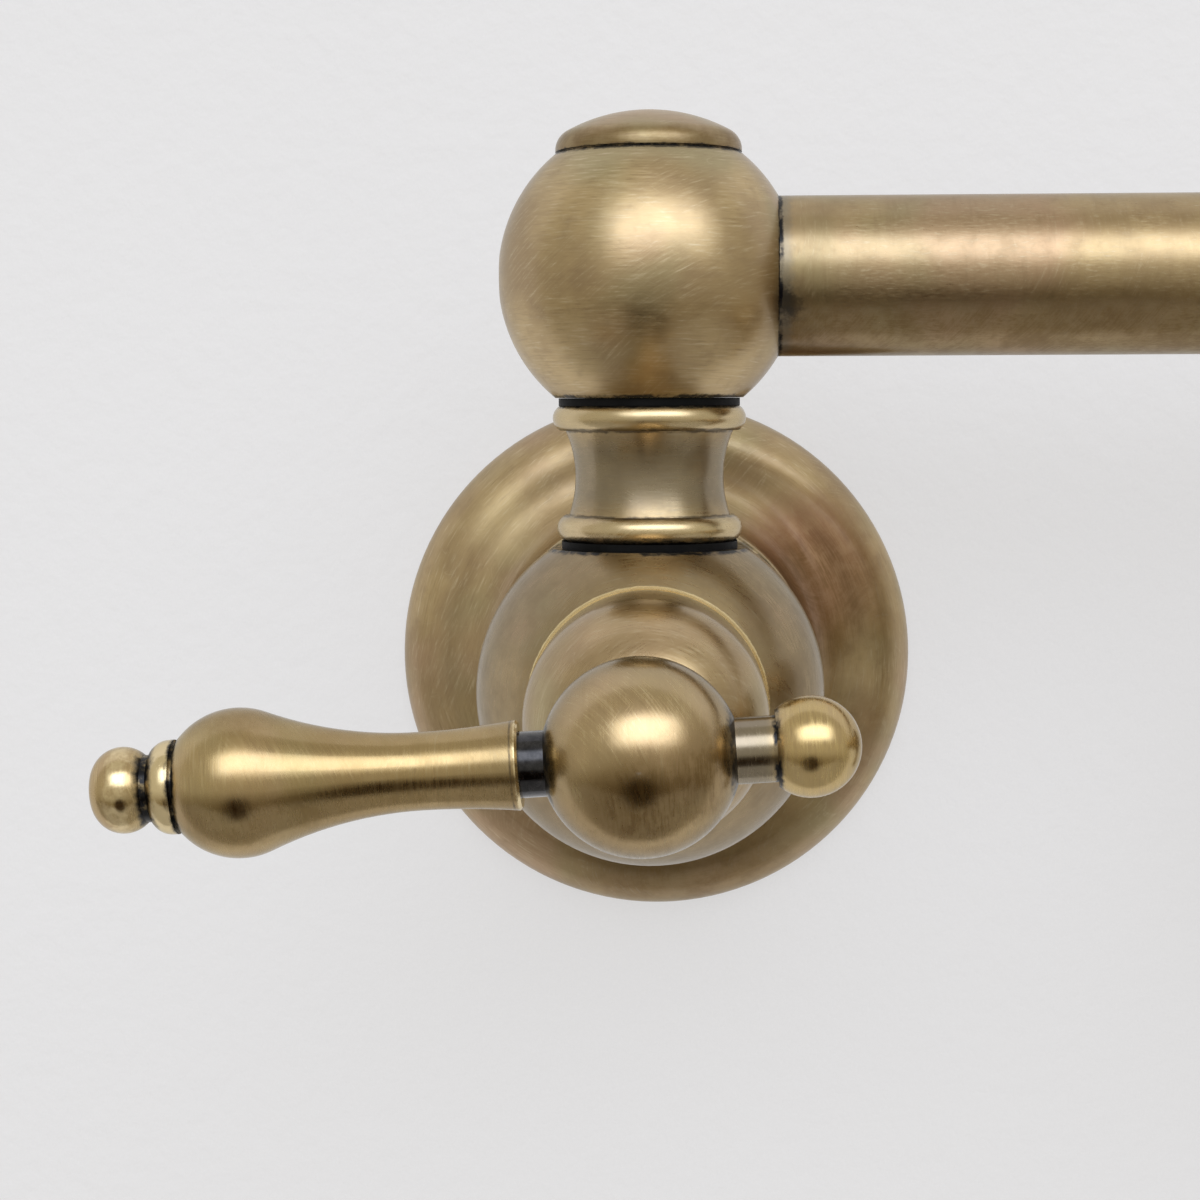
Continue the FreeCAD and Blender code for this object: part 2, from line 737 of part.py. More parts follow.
def spindle(prefix):
    """Head with a drive tongue, shaft with an O-ring groove, and the end that carries the hub."""
    label = f"{prefix}_spindle"
    base = head_base()
    groove = ring_level()
    groove_half = s.ring_r + s.ring_room
    groove_root = s.spindle_r - s.ring_r * 2.0
    step = hub_reach() - s.hub_boss_len - s.end_room
    corners = [
        (0, base),
        (s.head_r, base),
        (s.head_r, base + s.head_t),
        (s.spindle_r, base + s.head_t),
        (s.spindle_r, groove - groove_half),
        (groove_root, groove - groove_half),
        (groove_root, groove + groove_half),
        (s.spindle_r, groove + groove_half),
        (s.spindle_r, step),
        (s.drive_r, step),
        (s.drive_r, hub_reach()),
        (0, hub_reach()),
    ]
    body = turned(label, corners)
    tongue = new_sketch(body, "XY_Plane", f"{label}_tongue", shift=(0, 0, base))
    draw_rectangle(tongue, s.tongue_long / 2, -(s.tongue_wide / 2), s.tongue_wide / 2)
    padded(body, tongue, s.tongue_deep, downward=True)
    return body


def spindle_o_ring(prefix):
    return torus(f"{prefix}_spindle_o_ring", s.spindle_r - s.ring_r + s.fit_gap / 2, s.ring_r)


def bonnet(prefix):
    """Band, dome and neck; it screws onto the housing's neck."""
    rear = ball_front() + s.bonnet_gap
    cavity = s.flange_r + s.flange_gap
    dome_foot = ball_front() + s.bonnet_band
    dome_top = dome_foot + across(s.bonnet_dome, s.bonnet_neck_r - (s.bonnet_r - s.bonnet_dome))
    counterbore = s.hub_boss_r + s.boss_gap
    counterbore_floor = hub_reach() - s.hub_boss_len - s.boss_gap
    spindle_bore = s.spindle_r + s.bonnet_room
    thread = s.housing_neck_r + s.fit_gap
    thread_end = neck_top() + s.thread_room
    corners = [
        (cavity, rear),
        (s.bonnet_r - s.bonnet_edge, rear),
        (s.bonnet_r, rear + s.bonnet_edge),
        (s.bonnet_r, dome_foot),
        (s.bonnet_neck_r, dome_top, left(s.bonnet_dome)),
        (s.bonnet_neck_r, bonnet_end()),
        (counterbore, bonnet_end()),
        (counterbore, counterbore_floor),
        (spindle_bore, counterbore_floor),
        (spindle_bore, thread_end),
        (thread, thread_end),
        (thread, ring_level()),
        (cavity, ring_level()),
    ]
    return turned(f"{prefix}_bonnet", corners)


# ---------------------------------------------------------------- lever

def lever_hub(prefix):
    """Ball with a boss for the spindle, a seat on each side for a stem, and the set screw's hole below."""
    bore = s.drive_r + s.fit_gap
    flat = -across(s.hub_r, s.hub_flat_r)
    corners = [
        (bore, -s.hub_boss_len),
        (s.hub_boss_r, -s.hub_boss_len),
        (s.hub_boss_r, flat),
        (s.hub_flat_r, flat),
        (0, s.hub_r, left(s.hub_r)),
        (0, s.end_room),
        (bore, s.end_room),
    ]
    body = turned(f"{prefix}_lever_hub", corners)
    outside = s.hub_r + OVERCUT
    rod_bore = s.rod_r + s.fit_gap
    rod_floor = s.rod_inner - s.fit_gap
    stem_bore = s.stem_r + s.fit_gap
    side = bored(body, "XZ_Plane", "H_Axis", [
        (rod_floor, 0),
        (outside, 0),
        (outside, stem_bore),
        (s.stem_seat, stem_bore),
        (s.stem_seat, rod_bore),
        (rod_floor, rod_bore),
    ])
    repeated(body, side, side.Profile[0], "V_Axis", 2)
    grub_bore = s.grub_r + s.fit_gap
    bored(body, "YZ_Plane", "H_Axis", [
        (-outside, 0),
        (-s.grub_r, 0),
        (-s.grub_r, grub_bore),
        (-outside, grub_bore),
    ], shift=(0, -s.grub_back, 0))
    return body


def lever_stud(prefix):
    """The dark stem between hub and handle, with a rod that runs on to the finial."""
    stem_end = s.skirt_at + s.skirt_depth - s.fit_gap
    rod_end = s.finial_hole - s.end_room
    corners = [
        (0, s.rod_inner),
        (s.rod_r, s.rod_inner),
        (s.rod_r, s.stem_seat),
        (s.stem_r, s.stem_seat),
        (s.stem_r, stem_end),
        (s.rod_r, stem_end),
        (s.rod_r, rod_end),
        (0, rod_end),
    ]
    return turned(f"{prefix}_lever_stud", corners)


def lever_handle(prefix):
    """Skirt, waist and bulb, each running smoothly into the next."""
    run = s.bulb_at - s.waist_at
    drop = s.waist_r + s.bulb_low
    sweep = (run * run + drop * drop - s.bulb_r * s.bulb_r) / ((s.bulb_r - drop) * 2.0)
    reach = sweep + s.bulb_r
    meet = s.bulb_at - run * s.bulb_r / reach
    meet_r = (sweep + drop) * s.bulb_r / reach - s.bulb_low
    flare = s.skirt_r - s.waist_r
    fall = s.waist_at - s.skirt_at - s.skirt_edge
    skirt_curve = (fall * fall + flare * flare) / (flare * 2.0)
    end_r = across(s.bulb_r, s.bulb_end - s.bulb_at) - s.bulb_low
    stem_bore = s.stem_r + s.fit_gap
    rod_bore = s.rod_r + s.fit_gap
    corners = [
        (stem_bore, s.skirt_at),
        (s.skirt_r - s.skirt_edge, s.skirt_at),
        (s.skirt_r, s.skirt_at + s.skirt_edge),
        (s.waist_r, s.waist_at, right(skirt_curve)),
        (meet_r, meet, right(sweep)),
        (end_r, s.bulb_end, left(s.bulb_r)),
        (rod_bore, s.bulb_end),
        (rod_bore, s.skirt_at + s.skirt_depth),
        (stem_bore, s.skirt_at + s.skirt_depth),
    ]
    return turned(f"{prefix}_lever_handle", corners)


def lever_finial(prefix):
    """Disc, neck and flattened ball, screwed onto the rod."""
    rod_bore = s.rod_r + s.fit_gap
    disc = s.bulb_end + s.disc_foot_t
    ball_foot = s.finial_flat_r + across(s.finial_r, s.finial_at - s.finial_neck_at - s.disc_foot_t)
    corners = [
        (rod_bore, s.bulb_end),
        (s.disc_foot_r, s.bulb_end),
        (s.disc_foot_r, disc),
        (s.finial_disc_r, disc),
        (s.finial_disc_r, disc + s.finial_disc_t),
        (s.finial_neck_r, s.finial_neck_at - s.disc_foot_t / 2, left(s.finial_slope)),
        (s.finial_neck_r, s.finial_neck_at + s.disc_foot_t),
        (ball_foot, s.finial_neck_at + s.disc_foot_t),
        (s.finial_flat_r, s.finial_at + s.finial_r, left(s.finial_r)),
        (0, s.finial_at + s.finial_r),
        (0, s.finial_hole),
        (rod_bore, s.finial_hole),
    ]
    return turned(f"{prefix}_lever_finial", corners)


def counter_finial(prefix):
    """The stem and ball on the hub's other side."""
    foot_r = across(s.counter_r, s.counter_at - s.counter_foot)
    corners = [
        (0, s.rod_inner),
        (s.rod_r, s.rod_inner),
        (s.rod_r, s.stem_seat),
        (s.stem_r, s.stem_seat),
        (s.stem_r, s.counter_foot),
        (foot_r, s.counter_foot),
        (0, s.counter_at + s.counter_r, left(s.counter_r)),
    ]
    return turned(f"{prefix}_counter_finial", corners)


def set_screw(prefix):
    """A headless screw with a hexagon socket."""
    label = f"{prefix}_set_screw"
    screw = primitive("Part::Cylinder", f"{label}_round", Radius=s.grub_r, Height=s.grub_len)
    key_height = s.grub_key_deep + OVERCUT
    key = primitive("Part::Prism", f"{label}_key", Circumradius=s.grub_key_r, Height=key_height)
    key.Polygon = 6
    place(key, z=s.grub_len - s.grub_key_deep)
    return difference(label, screw, key)


# ---------------------------------------------------------------- spools, swivel and elbows

def spool_corners(stub_len):
    """The outside of a spool from its stub to the top of its upper bead."""
    low_foot = s.bead_low_r - (s.bead_round - across(s.bead_round, s.bead_low_t / 2))
    high_foot = s.bead_high_r - (s.bead_round - across(s.bead_round, s.bead_high_t / 2))
    high = s.spool_len - s.bead_high_t
    return [
        (s.spool_bore, -(s.gasket_t + stub_len)),
        (s.post_r, -(s.gasket_t + stub_len)),
        (s.post_r, 0),
        (low_foot, 0),
        (low_foot, s.bead_low_t, left(s.bead_round)),
        (s.waist_low_r, s.bead_low_t),
        (s.waist_high_r, high, right(s.waist_curve)),
        (high_foot, high),
        (high_foot, s.spool_len, left(s.bead_round)),
    ]


def valve_stub():
    """A stub that ends at a valve's cartridge chamber."""
    return boss_height() - s.chamber_r


def swivel_spool(prefix):
    stub_len = valve_stub() if prefix == "wall" else s.bearing_len - s.stub_short
    socket = s.post_foot_r + s.fit_gap
    floor = s.spool_len - s.post_foot_len - s.fit_gap
    corners = spool_corners(stub_len) + [(socket, s.spool_len), (socket, floor), (s.spool_bore, floor)]
    return turned(f"{prefix}_neck_spool", corners)


def spool_gasket(label):
    inner = s.post_r + s.washer_gap
    return turned(label, [(inner, 0), (s.gasket_r, 0), (s.gasket_r, s.gasket_t), (inner, s.gasket_t)])


def ball_half():
    """Elbow's centre to either of its flat ends."""
    return across(s.ball_arc, s.ball_end_r + s.ball_low)


def shelf_rise():
    """Spool top to the underside of the thrust washer."""
    return s.swivel_gap + ball_half() * 2.0 - s.shelf_deep + s.face_gap


def swivel_post(prefix):
    """Hollow post: threaded foot, two O-ring grooves, cross drillings and a threaded top."""
    groove_r = s.post_r - s.groove_deep
    shoulder = shelf_rise()
    port = s.swivel_gap + ball_half()
    thread_top = shoulder + s.thrust_t + s.nut_t + s.end_room
    low = s.low_groove
    high = shoulder - s.high_groove - s.groove_wide
    corners = [
        (s.post_bore, -s.post_foot_len),
        (s.post_foot_r, -s.post_foot_len),
        (s.post_foot_r, 0),
        (s.post_r, 0),
        (s.post_r, low),
        (groove_r, low),
        (groove_r, low + s.groove_wide),
        (s.post_r, low + s.groove_wide),
        (s.post_r, high),
        (groove_r, high),
        (groove_r, high + s.groove_wide),
        (s.post_r, high + s.groove_wide),
        (s.post_r, shoulder),
        (s.post_thread_r, shoulder),
        (s.post_thread_r, thread_top),
        (0, thread_top),
        (0, port + s.post_roof),
        (s.post_bore, port + s.post_roof),
    ]
    body = turned(f"{prefix}_swivel_post", corners)
    drilling = bored(body, "XZ_Plane", "H_Axis", [
        (s.post_port_r, 0),
        (s.post_r + OVERCUT, 0),
        (s.post_r + OVERCUT, s.post_port_r),
        (s.post_port_r, s.post_port_r),
    ], shift=(0, port, 0))
    repeated(body, drilling, drilling.Profile[0], "V_Axis", 4)
    return body


def post_o_rings(prefix):
    """Both O-rings of a swivel post, as two separate solids."""
    ring_r = s.post_r - s.groove_deep + s.post_ring_r + s.fit_gap / 2
    levels = (
        s.low_groove + s.groove_wide / 2,
        shelf_rise() - s.high_groove - s.groove_wide / 2,
    )
    label = f"{prefix}_post_o_rings"
    pair = document.addObject("Part::Compound", label)
    pair.Label = label
    pair.Links = [place(torus(f"{label}_ring", ring_r, s.post_ring_r), z=level) for level in levels]
    return pair


def swivel_washer(prefix):
    inner = s.post_r + s.washer_gap
    top = s.swivel_gap - s.face_gap
    return turned(f"{prefix}_swivel_washer", [(inner, 0), (s.washer_r, 0), (s.washer_r, top), (inner, top)])


def thrust_washer(prefix):
    inner = s.post_thread_r + s.fit_gap
    outer = cap_bore() - s.thrust_gap
    corners = [(inner, 0), (outer, 0), (outer, s.thrust_t), (inner, s.thrust_t)]
    return turned(f"{prefix}_thrust_washer", corners)


def post_nut(prefix):
    label = f"{prefix}_post_nut"
    hexagon = primitive("Part::Prism", f"{label}_hexagon", Circumradius=s.nut_r, Height=s.nut_t)
    hexagon.Polygon = 6
    thread = s.post_thread_r + s.fit_gap
    hole = primitive("Part::Cylinder", f"{label}_hole", Radius=thread, Height=s.nut_t)
    return difference(label, hexagon, hole)


def cap_bore():
    """Radius of the elbow's thread for its cap."""
    return s.ball_end_r - s.cap_wall


def elbow_ball(label):
    """Barrel-shaped elbow: bearing bores round a chamber, a shelf and thread on top, a tube socket."""
    half = ball_half()
    shelf = half - s.shelf_deep
    room_half = half - s.bearing_len
    bearing = s.post_r + s.fit_gap
    corners = [
        (bearing, -half),
        (s.ball_end_r, -half),
        (s.ball_end_r, half, left(s.ball_arc)),
        (cap_bore(), half),
        (cap_bore(), shelf),
        (bearing, shelf),
        (bearing, room_half),
        (s.ball_room_r, room_half),
        (s.ball_room_r, -room_half),
        (bearing, -room_half),
    ]
    body = turned(label, corners)
    pole = s.ball_arc - s.ball_low
    socket = s.tube_r + s.fit_gap
    outside = pole + OVERCUT
    bored(body, "XZ_Plane", "H_Axis", [
        (s.ball_socket, 0),
        (outside, 0),
        (outside, socket),
        (s.ball_socket, socket),
    ])
    bored(body, "XZ_Plane", "H_Axis", [
        (-outside, 0),
        (-(pole - s.pole_flat), 0),
        (-(pole - s.pole_flat), s.pole_flat_r),
        (-outside, s.pole_flat_r),
    ])
    return body


def elbow_cap(label):
    """Threaded hollow cap with a rounded edge and a low dome; its seam shows as a dark line."""
    side_r = s.ball_end_r - s.cap_inset
    seam_r = side_r - s.cap_seam_deep
    foot_r = side_r - s.cap_edge
    skirt_r = cap_bore() - s.fit_gap
    hollow_r = skirt_r - s.cap_skirt_wall
    rise = s.cap_top - s.cap_dome_foot
    dome = (foot_r * foot_r + rise * rise) / (rise * 2.0)
    corners = [
        (hollow_r, -s.cap_skirt_len),
        (skirt_r, -s.cap_skirt_len),
        (skirt_r, 0),
        (seam_r, 0),
        (seam_r, s.cap_seam),
        (side_r, s.cap_seam),
        (side_r, s.cap_seam + s.cap_side),
        (foot_r, s.cap_dome_foot, left(s.cap_round)),
        (0, s.cap_top, left(dome)),
        (0, s.cap_roof),
        (hollow_r, s.cap_roof),
    ]
    return turned(label, corners)


def arm_tube(label, length):
    body = new_body(label)
    sketch = new_sketch(body, "XY_Plane", f"{label}_section")
    draw_circle(sketch, s.tube_r)
    draw_circle(sketch, s.tube_r - s.tube_wall)
    padded(body, sketch, length)
    return body


# ---------------------------------------------------------------- spout

def spout_nozzle():
    nozzle_end = s.spool_len + s.nozzle_len
    corners = spool_corners(valve_stub()) + [
        (s.nozzle_r, s.spool_len),
        (s.nozzle_r, nozzle_end),
        (s.spool_bore, nozzle_end),
    ]
    return turned("spout_nozzle", corners)


def aerator_housing():
    """Sleeve screwed over the nozzle, with an inner lip at its mouth."""
    top = s.spool_len + s.aerator_gap
    bottom = top + s.aerator_len
    bore = s.nozzle_r + s.fit_gap
    outer = s.nozzle_r + s.aerator_wall
    mouth = s.nozzle_r - s.aerator_ledge
    mouth_edge = s.aerator_edge * 2.0
    corners = [
        (bore, top),
        (outer - s.aerator_edge, top),
        (outer, top + s.aerator_edge),
        (outer, bottom - mouth_edge),
        (outer - mouth_edge, bottom, left(mouth_edge)),
        (mouth, bottom),
        (mouth, bottom - s.aerator_lip),
        (bore, bottom - s.aerator_lip),
    ]
    return turned("aerator_housing", corners)


def aerator_insert():
    radius = s.nozzle_r - s.fit_gap
    return screen("aerator_insert", radius, s.insert_t, s.insert_hole_r, s.insert_pitch)


def insert_top():
    """Spout spool's head to the upper face of the aerator insert."""
    return s.spool_len + s.aerator_gap + s.aerator_len - s.aerator_lip - s.insert_t


def aerator_washer():
    base = s.spool_len + s.nozzle_len
    top = insert_top()
    outer = s.nozzle_r - s.fit_gap
    inner = outer - s.insert_washer_wide
    return turned("aerator_washer", [(inner, base), (outer, base), (outer, top), (inner, top)])


# ---------------------------------------------------------------- places

def elbow_level():
    """Height of the first arm."""
    return boss_height() + s.gasket_t + s.spool_len + s.swivel_gap + ball_half()


def lower_level():
    """Height of the second arm and of the outlet valve."""
    return elbow_level() - ball_half() * 2.0 - s.swivel_gap - s.spool_len - s.gasket_t


def outlet_place():
    return (s.arm_one - s.arm_two, -s.axis_reach, lower_level())


def place_swivel(prefix, x):
    """One swivel, all about one upright axis, from the gasket under its spool to the cap on its elbow."""
    y = -s.axis_reach
    ball = elbow_level()
    spool_top = ball - ball_half() - s.swivel_gap
    spool_base = spool_top - s.spool_len
    thrust = spool_top + shelf_rise()
    turn = UPRIGHT if prefix == "wall" else REVERSED
    return [
        place(spool_gasket(f"{prefix}_spool_gasket"), x, y, spool_base - s.gasket_t),
        place(swivel_spool(prefix), x, y, spool_base),
        place(swivel_post(prefix), x, y, spool_top),
        place(post_o_rings(prefix), x, y, spool_top),
        place(swivel_washer(prefix), x, y, spool_top),
        place(thrust_washer(prefix), x, y, thrust),
        place(post_nut(prefix), x, y, thrust + s.thrust_t),
        place(elbow_ball(f"{prefix}_elbow_ball"), x, y, ball, turn),
        place(elbow_cap(f"{prefix}_elbow_cap"), x, y, ball + ball_half()),
    ]


def place_valve(prefix, x, y, z, side):
    """One cartridge, bonnet and lever; side is -1 for a lever that points along -X and 1 along +X."""
    droop = s.lever_droop.value
    hub_y = y - hub_reach()
    out = FreeCAD.Rotation(FreeCAD.Vector(0, 1, 0), side * (90 + droop))
    back = FreeCAD.Rotation(FreeCAD.Vector(0, 1, 0), -side * (90 - droop))
    hub_turn = FORWARD.multiply(FreeCAD.Rotation(FreeCAD.Vector(0, 0, 1), -side * droop))
    screw_start = s.drive_r + s.fit_gap
    screw_aside = math.sin(math.radians(side * droop))
    screw_drop = math.cos(math.radians(droop))
    screw_turn = FreeCAD.Rotation(FreeCAD.Vector(0, 1, 0), 180 + side * droop)
    return [
        place(seat_seal(prefix), x, y, z, FORWARD),
        place(fixed_disc(prefix), x, y, z, FORWARD),
        place(moving_disc(prefix), x, y, z, FORWARD),
        place(cartridge_housing(prefix), x, y, z, FORWARD),
        place(spindle(prefix), x, y, z, FORWARD),
        place(spindle_o_ring(prefix), x, y - ring_level(), z, FORWARD),
        place(bonnet(prefix), x, y, z, FORWARD),
        place(lever_hub(prefix), x, hub_y, z, hub_turn),
        place(lever_stud(prefix), x, hub_y, z, out),
        place(lever_handle(prefix), x, hub_y, z, out),
        place(lever_finial(prefix), x, hub_y, z, out),
        place(counter_finial(prefix), x, hub_y, z, back),
        place(
            set_screw(prefix),
            sized(x) - screw_start * screw_aside,
            hub_y + s.grub_back,
            sized(z) - screw_start * screw_drop,
            screw_turn,
        ),
    ]


def place_arms():
    y = -s.axis_reach
    ball_end = s.ball_socket + s.fit_gap
    outlet_end = s.outlet_socket + s.fit_gap
    lower = lower_level()
    first = arm_tube("arm_tube_1", s.arm_one - ball_end * 2.0)
    second = arm_tube("arm_tube_2", s.arm_two - ball_end - outlet_end)
    upside_down = DOWNWARD.multiply(REVERSED)
    return [
        place(first, ball_end, y, elbow_level(), ALONG_X),
        place(elbow_ball("mid_lower_ball"), s.arm_one, y, lower, upside_down),
        place(elbow_cap("mid_lower_cap"), s.arm_one, y, lower - ball_half(), DOWNWARD),
        place(second, s.arm_one - s.arm_two + outlet_end, y, lower, ALONG_X),
    ]


def place_spout():
    x, y, z = outlet_place()
    base = z - boss_height() - s.gasket_t
    return [
        place(spool_gasket("spout_gasket"), x, y, base),
        place(spout_nozzle(), x, y, base, DOWNWARD),
        place(aerator_housing(), x, y, base, DOWNWARD),
        place(aerator_insert(), x, y, base - insert_top(), DOWNWARD),
        place(aerator_washer(), x, y, base, DOWNWARD),
    ]


def all_nodes():
    return [
        escutcheon(),
        escutcheon_seal(),
        escutcheon_o_ring(),
        valve_body(),
        inlet_strainer(),
        *place_valve("wall", 0, -s.axis_reach, 0, side=-1),
        *place_swivel("wall", 0),
        *place_swivel("mid", s.arm_one),
        *place_arms(),
        outlet_body(),
        *place_valve("outlet", *outlet_place(), side=1),
        *place_spout(),
    ]


# ---------------------------------------------------------------- checks and files

def check_states():
    """Stop where an object failed, or where a cut took nothing away."""
    for item in document.Objects:
        if "Invalid" in item.State or "Error" in item.State:
            raise RuntimeError(f"{item.Label} failed: {item.State}")
        if item.TypeId in ("PartDesign::Groove", "PartDesign::Pocket"):
            before = item.BaseFeature.Shape.Volume
            if item.Shape.Volume >= before * 0.999999:
                raise RuntimeError(f"{item.Label} cuts nothing")


def write_nodes(nodes):
    os.makedirs("parts", exist_ok=True)
    for node in nodes:
        if node.Shape.isNull() or not node.Shape.isValid():
            raise RuntimeError(f"{node.Label} has no valid shape")
        node.Shape.exportStep(os.path.join("parts", f"{node.Label}.step"))
    print(f"{len(nodes)} nodes")


def main():
    nodes = all_nodes()
    document.recompute()
    check_states()
    write_nodes(nodes)


main()
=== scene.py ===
import json
import math
from typing import NamedTuple

import bpy
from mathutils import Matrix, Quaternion, Vector


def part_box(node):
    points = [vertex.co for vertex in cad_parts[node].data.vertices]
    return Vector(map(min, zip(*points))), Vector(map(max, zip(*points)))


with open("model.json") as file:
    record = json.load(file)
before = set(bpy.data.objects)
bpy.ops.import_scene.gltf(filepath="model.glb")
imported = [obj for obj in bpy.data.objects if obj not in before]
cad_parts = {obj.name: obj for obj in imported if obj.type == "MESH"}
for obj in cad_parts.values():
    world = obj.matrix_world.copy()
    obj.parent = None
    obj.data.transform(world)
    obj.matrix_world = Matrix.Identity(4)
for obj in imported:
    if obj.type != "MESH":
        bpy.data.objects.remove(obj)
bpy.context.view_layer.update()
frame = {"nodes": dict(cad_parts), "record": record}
NODES = frame["nodes"]
MM = 1000.0  # finishes are written in millimetres, and object coordinates are metres

# Sizes of the turned pieces that the boxes of the frame's nodes don't give, in metres, and the levers' slope.
LEVER_DROOP = math.radians(3.75)
HUB_RADIUS = 0.0103
COUNTER_RADIUS = 0.0052
TUBE_RADIUS = 0.0098
TUBE_MOUTH = 0.01578  # elbow's centre to the circle where its ball meets the tube
AXIS_REACH = -0.048  # the upright swivel axes' place on Y
COVE_REACH = -0.012  # the place on Y of the escutcheon's cove
DARK_REFLECTION_DROP = 0.004  # the painted dark reflections at a tube's ends, below its axis

# Where the edges and grooves that hold patina lie, in millimetres.
FINIAL_DISC_RADIUS = 4.85
STEM_SEAT = 8.85  # hub's centre to the counter finial's seat
COUNTER_FOOT = 13.84  # hub's centre to the counter finial's ball
SPOOL_LENGTH = 16.65
LOW_BEAD = 3.2
HIGH_BEAD = 3.0
BEAD_RADIUS = 11.9
BODY_RADIUS = 21.7
BOSS_LEVEL = 18.0  # valve ball's centre to the flat under its spool
BALL_SOCKET = 12.75  # elbow's centre to the end of a tube
COVE_RADIUS = 24.0

OUTWARD = (0.0, -1.0, 0.0)
UPWARD = (0.0, 0.0, 1.0)
DOWNWARD = (0.0, 0.0, -1.0)


def middle(node):
    """The centre of a node's box at rest."""
    low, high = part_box(node)
    return (low + high) / 2


class Lathe:
    """The axis that a piece was turned and brushed around: a point on it and its direction."""

    def __init__(self, origin, along):
        self.origin = Vector(origin)
        self.along = Vector(along).normalized()

    def span(self, node):
        """Where a node starts and ends along the axis, in millimetres."""
        places = [(vertex.co - self.origin).dot(self.along) * MM for vertex in NODES[node].data.vertices]
        return min(places), max(places)

    def turn(self):
        """The rotation that brings the frame's directions into the axis's own, with the axis as Z."""
        return self.along.to_track_quat("Z", "Y").to_matrix().inverted()


# Short calls that build node trees.


class Nodes:
    """Calls that add nodes to one tree and return their result."""

    def __init__(self, tree):
        self.tree = tree

    def add(self, kind, **settings):
        node = self.tree.nodes.new(kind)
        for name, value in settings.items():
            setattr(node, name, value)
        return node

    def feed(self, socket, value):
        """Links a socket's value to the socket, or sets it where the value is a plain one."""
        if isinstance(value, bpy.types.NodeSocket):
            self.tree.links.new(value, socket)
        else:
            socket.default_value = value

    def math(self, operation, *values):
        node = self.add("ShaderNodeMath", operation=operation)
        for socket, value in zip(node.inputs, values):
            self.feed(socket, value)
        return node.outputs[0]

    def vector(self, operation, *values):
        node = self.add("ShaderNodeVectorMath", operation=operation)
        for socket, value in zip(node.inputs, values):
            self.feed(socket, value)
        scalar = operation in ("LENGTH", "DOT_PRODUCT", "DISTANCE")
        return node.outputs["Value" if scalar else "Vector"]

    def split(self, vector):
        node = self.add("ShaderNodeSeparateXYZ")
        self.feed(node.inputs[0], vector)
        return node.outputs

    def join(self, x, y, z):
        node = self.add("ShaderNodeCombineXYZ")
        for socket, value in zip(node.inputs, (x, y, z)):
            self.feed(socket, value)
        return node.outputs[0]

    def object_place(self):
        """The point in the frame, in metres, as it is at rest."""
        return self.add("ShaderNodeTexCoord").outputs["Object"]

    def object_millimetres(self):
        place = self.vector("SCALE", self.object_place())
        place.node.inputs["Scale"].default_value = MM
        return place

    def to_world(self, kind, vector):
        """A direction of the frame at rest as it is in the world, a VECTOR or a NORMAL."""
        node = self.add("ShaderNodeVectorTransform", vector_type=kind,
                        convert_from="OBJECT", convert_to="WORLD")
        self.feed(node.inputs[0], vector)
        return self.vector("NORMALIZE", node.outputs[0])

    def noise(self, vector, scale=1.0, detail=2.0, rough=0.5, w=None):
        node = self.add("ShaderNodeTexNoise", noise_dimensions="3D" if w is None else "4D")
        self.feed(node.inputs["Vector"], vector)
        if w is not None:
            self.feed(node.inputs["W"], w)
        node.inputs["Scale"].default_value = scale
        node.inputs["Detail"].default_value = detail
        node.inputs["Roughness"].default_value = rough
        return node.outputs[0]

    def ramp(self, value, low, high, to_low=0.0, to_high=1.0):
        """value from low to high, eased, as to_low to to_high, and clamped there."""
        node = self.add("ShaderNodeMapRange", interpolation_type="SMOOTHSTEP")
        for socket, given in zip(node.inputs, (value, low, high, to_low, to_high)):
            self.feed(socket, given)
        return node.outputs[0]

    def between(self, factor, first, second):
        """first where the factor is 0 and second where it is 1."""
        node = self.add("ShaderNodeMix", data_type="FLOAT")
        for socket, value in zip((node.inputs[0], node.inputs[2], node.inputs[3]), (factor, first, second)):
            self.feed(socket, value)
        return node.outputs[0]

    def blend(self, factor, first, second):
        """The same between two colours."""
        node = self.add("ShaderNodeMix", data_type="RGBA")
        self.feed(node.inputs[0], factor)
        for socket, value in zip((node.inputs[6], node.inputs[7]), (first, second)):
            self.feed(socket, colour(value))
        return node.outputs[2]

    def bump(self, height, strength, depth, normal=None):
        """The shading normal of a surface with a fine relief; depth is in millimetres."""
        node = self.add("ShaderNodeBump")
        node.inputs["Strength"].default_value = strength
        node.inputs["Distance"].default_value = depth / MM
        self.feed(node.inputs["Height"], height)
        if normal is not None:
            self.feed(node.inputs["Normal"], normal)
        return node.outputs[0]


def colour(value):
    """A colour of three numbers, linear, with its alpha added; a socket stays as it is."""
    return (*value, 1.0) if isinstance(value, tuple) and len(value) == 3 else value


def new_material(name):
    """A material with an empty tree, its output and a principled shader on it."""
    material = bpy.data.materials.new(name)
    material.use_nodes = True
    material.node_tree.nodes.clear()
    nodes = Nodes(material.node_tree)
    output = nodes.add("ShaderNodeOutputMaterial")
    shader = nodes.add("ShaderNodeBsdfPrincipled")
    nodes.feed(output.inputs["Surface"], shader.outputs[0])
    return material, nodes, shader


def dress(node, material):
    """Gives a node one material all over."""
    mesh = NODES[node].data
    mesh.materials.clear()
    mesh.materials.append(material)


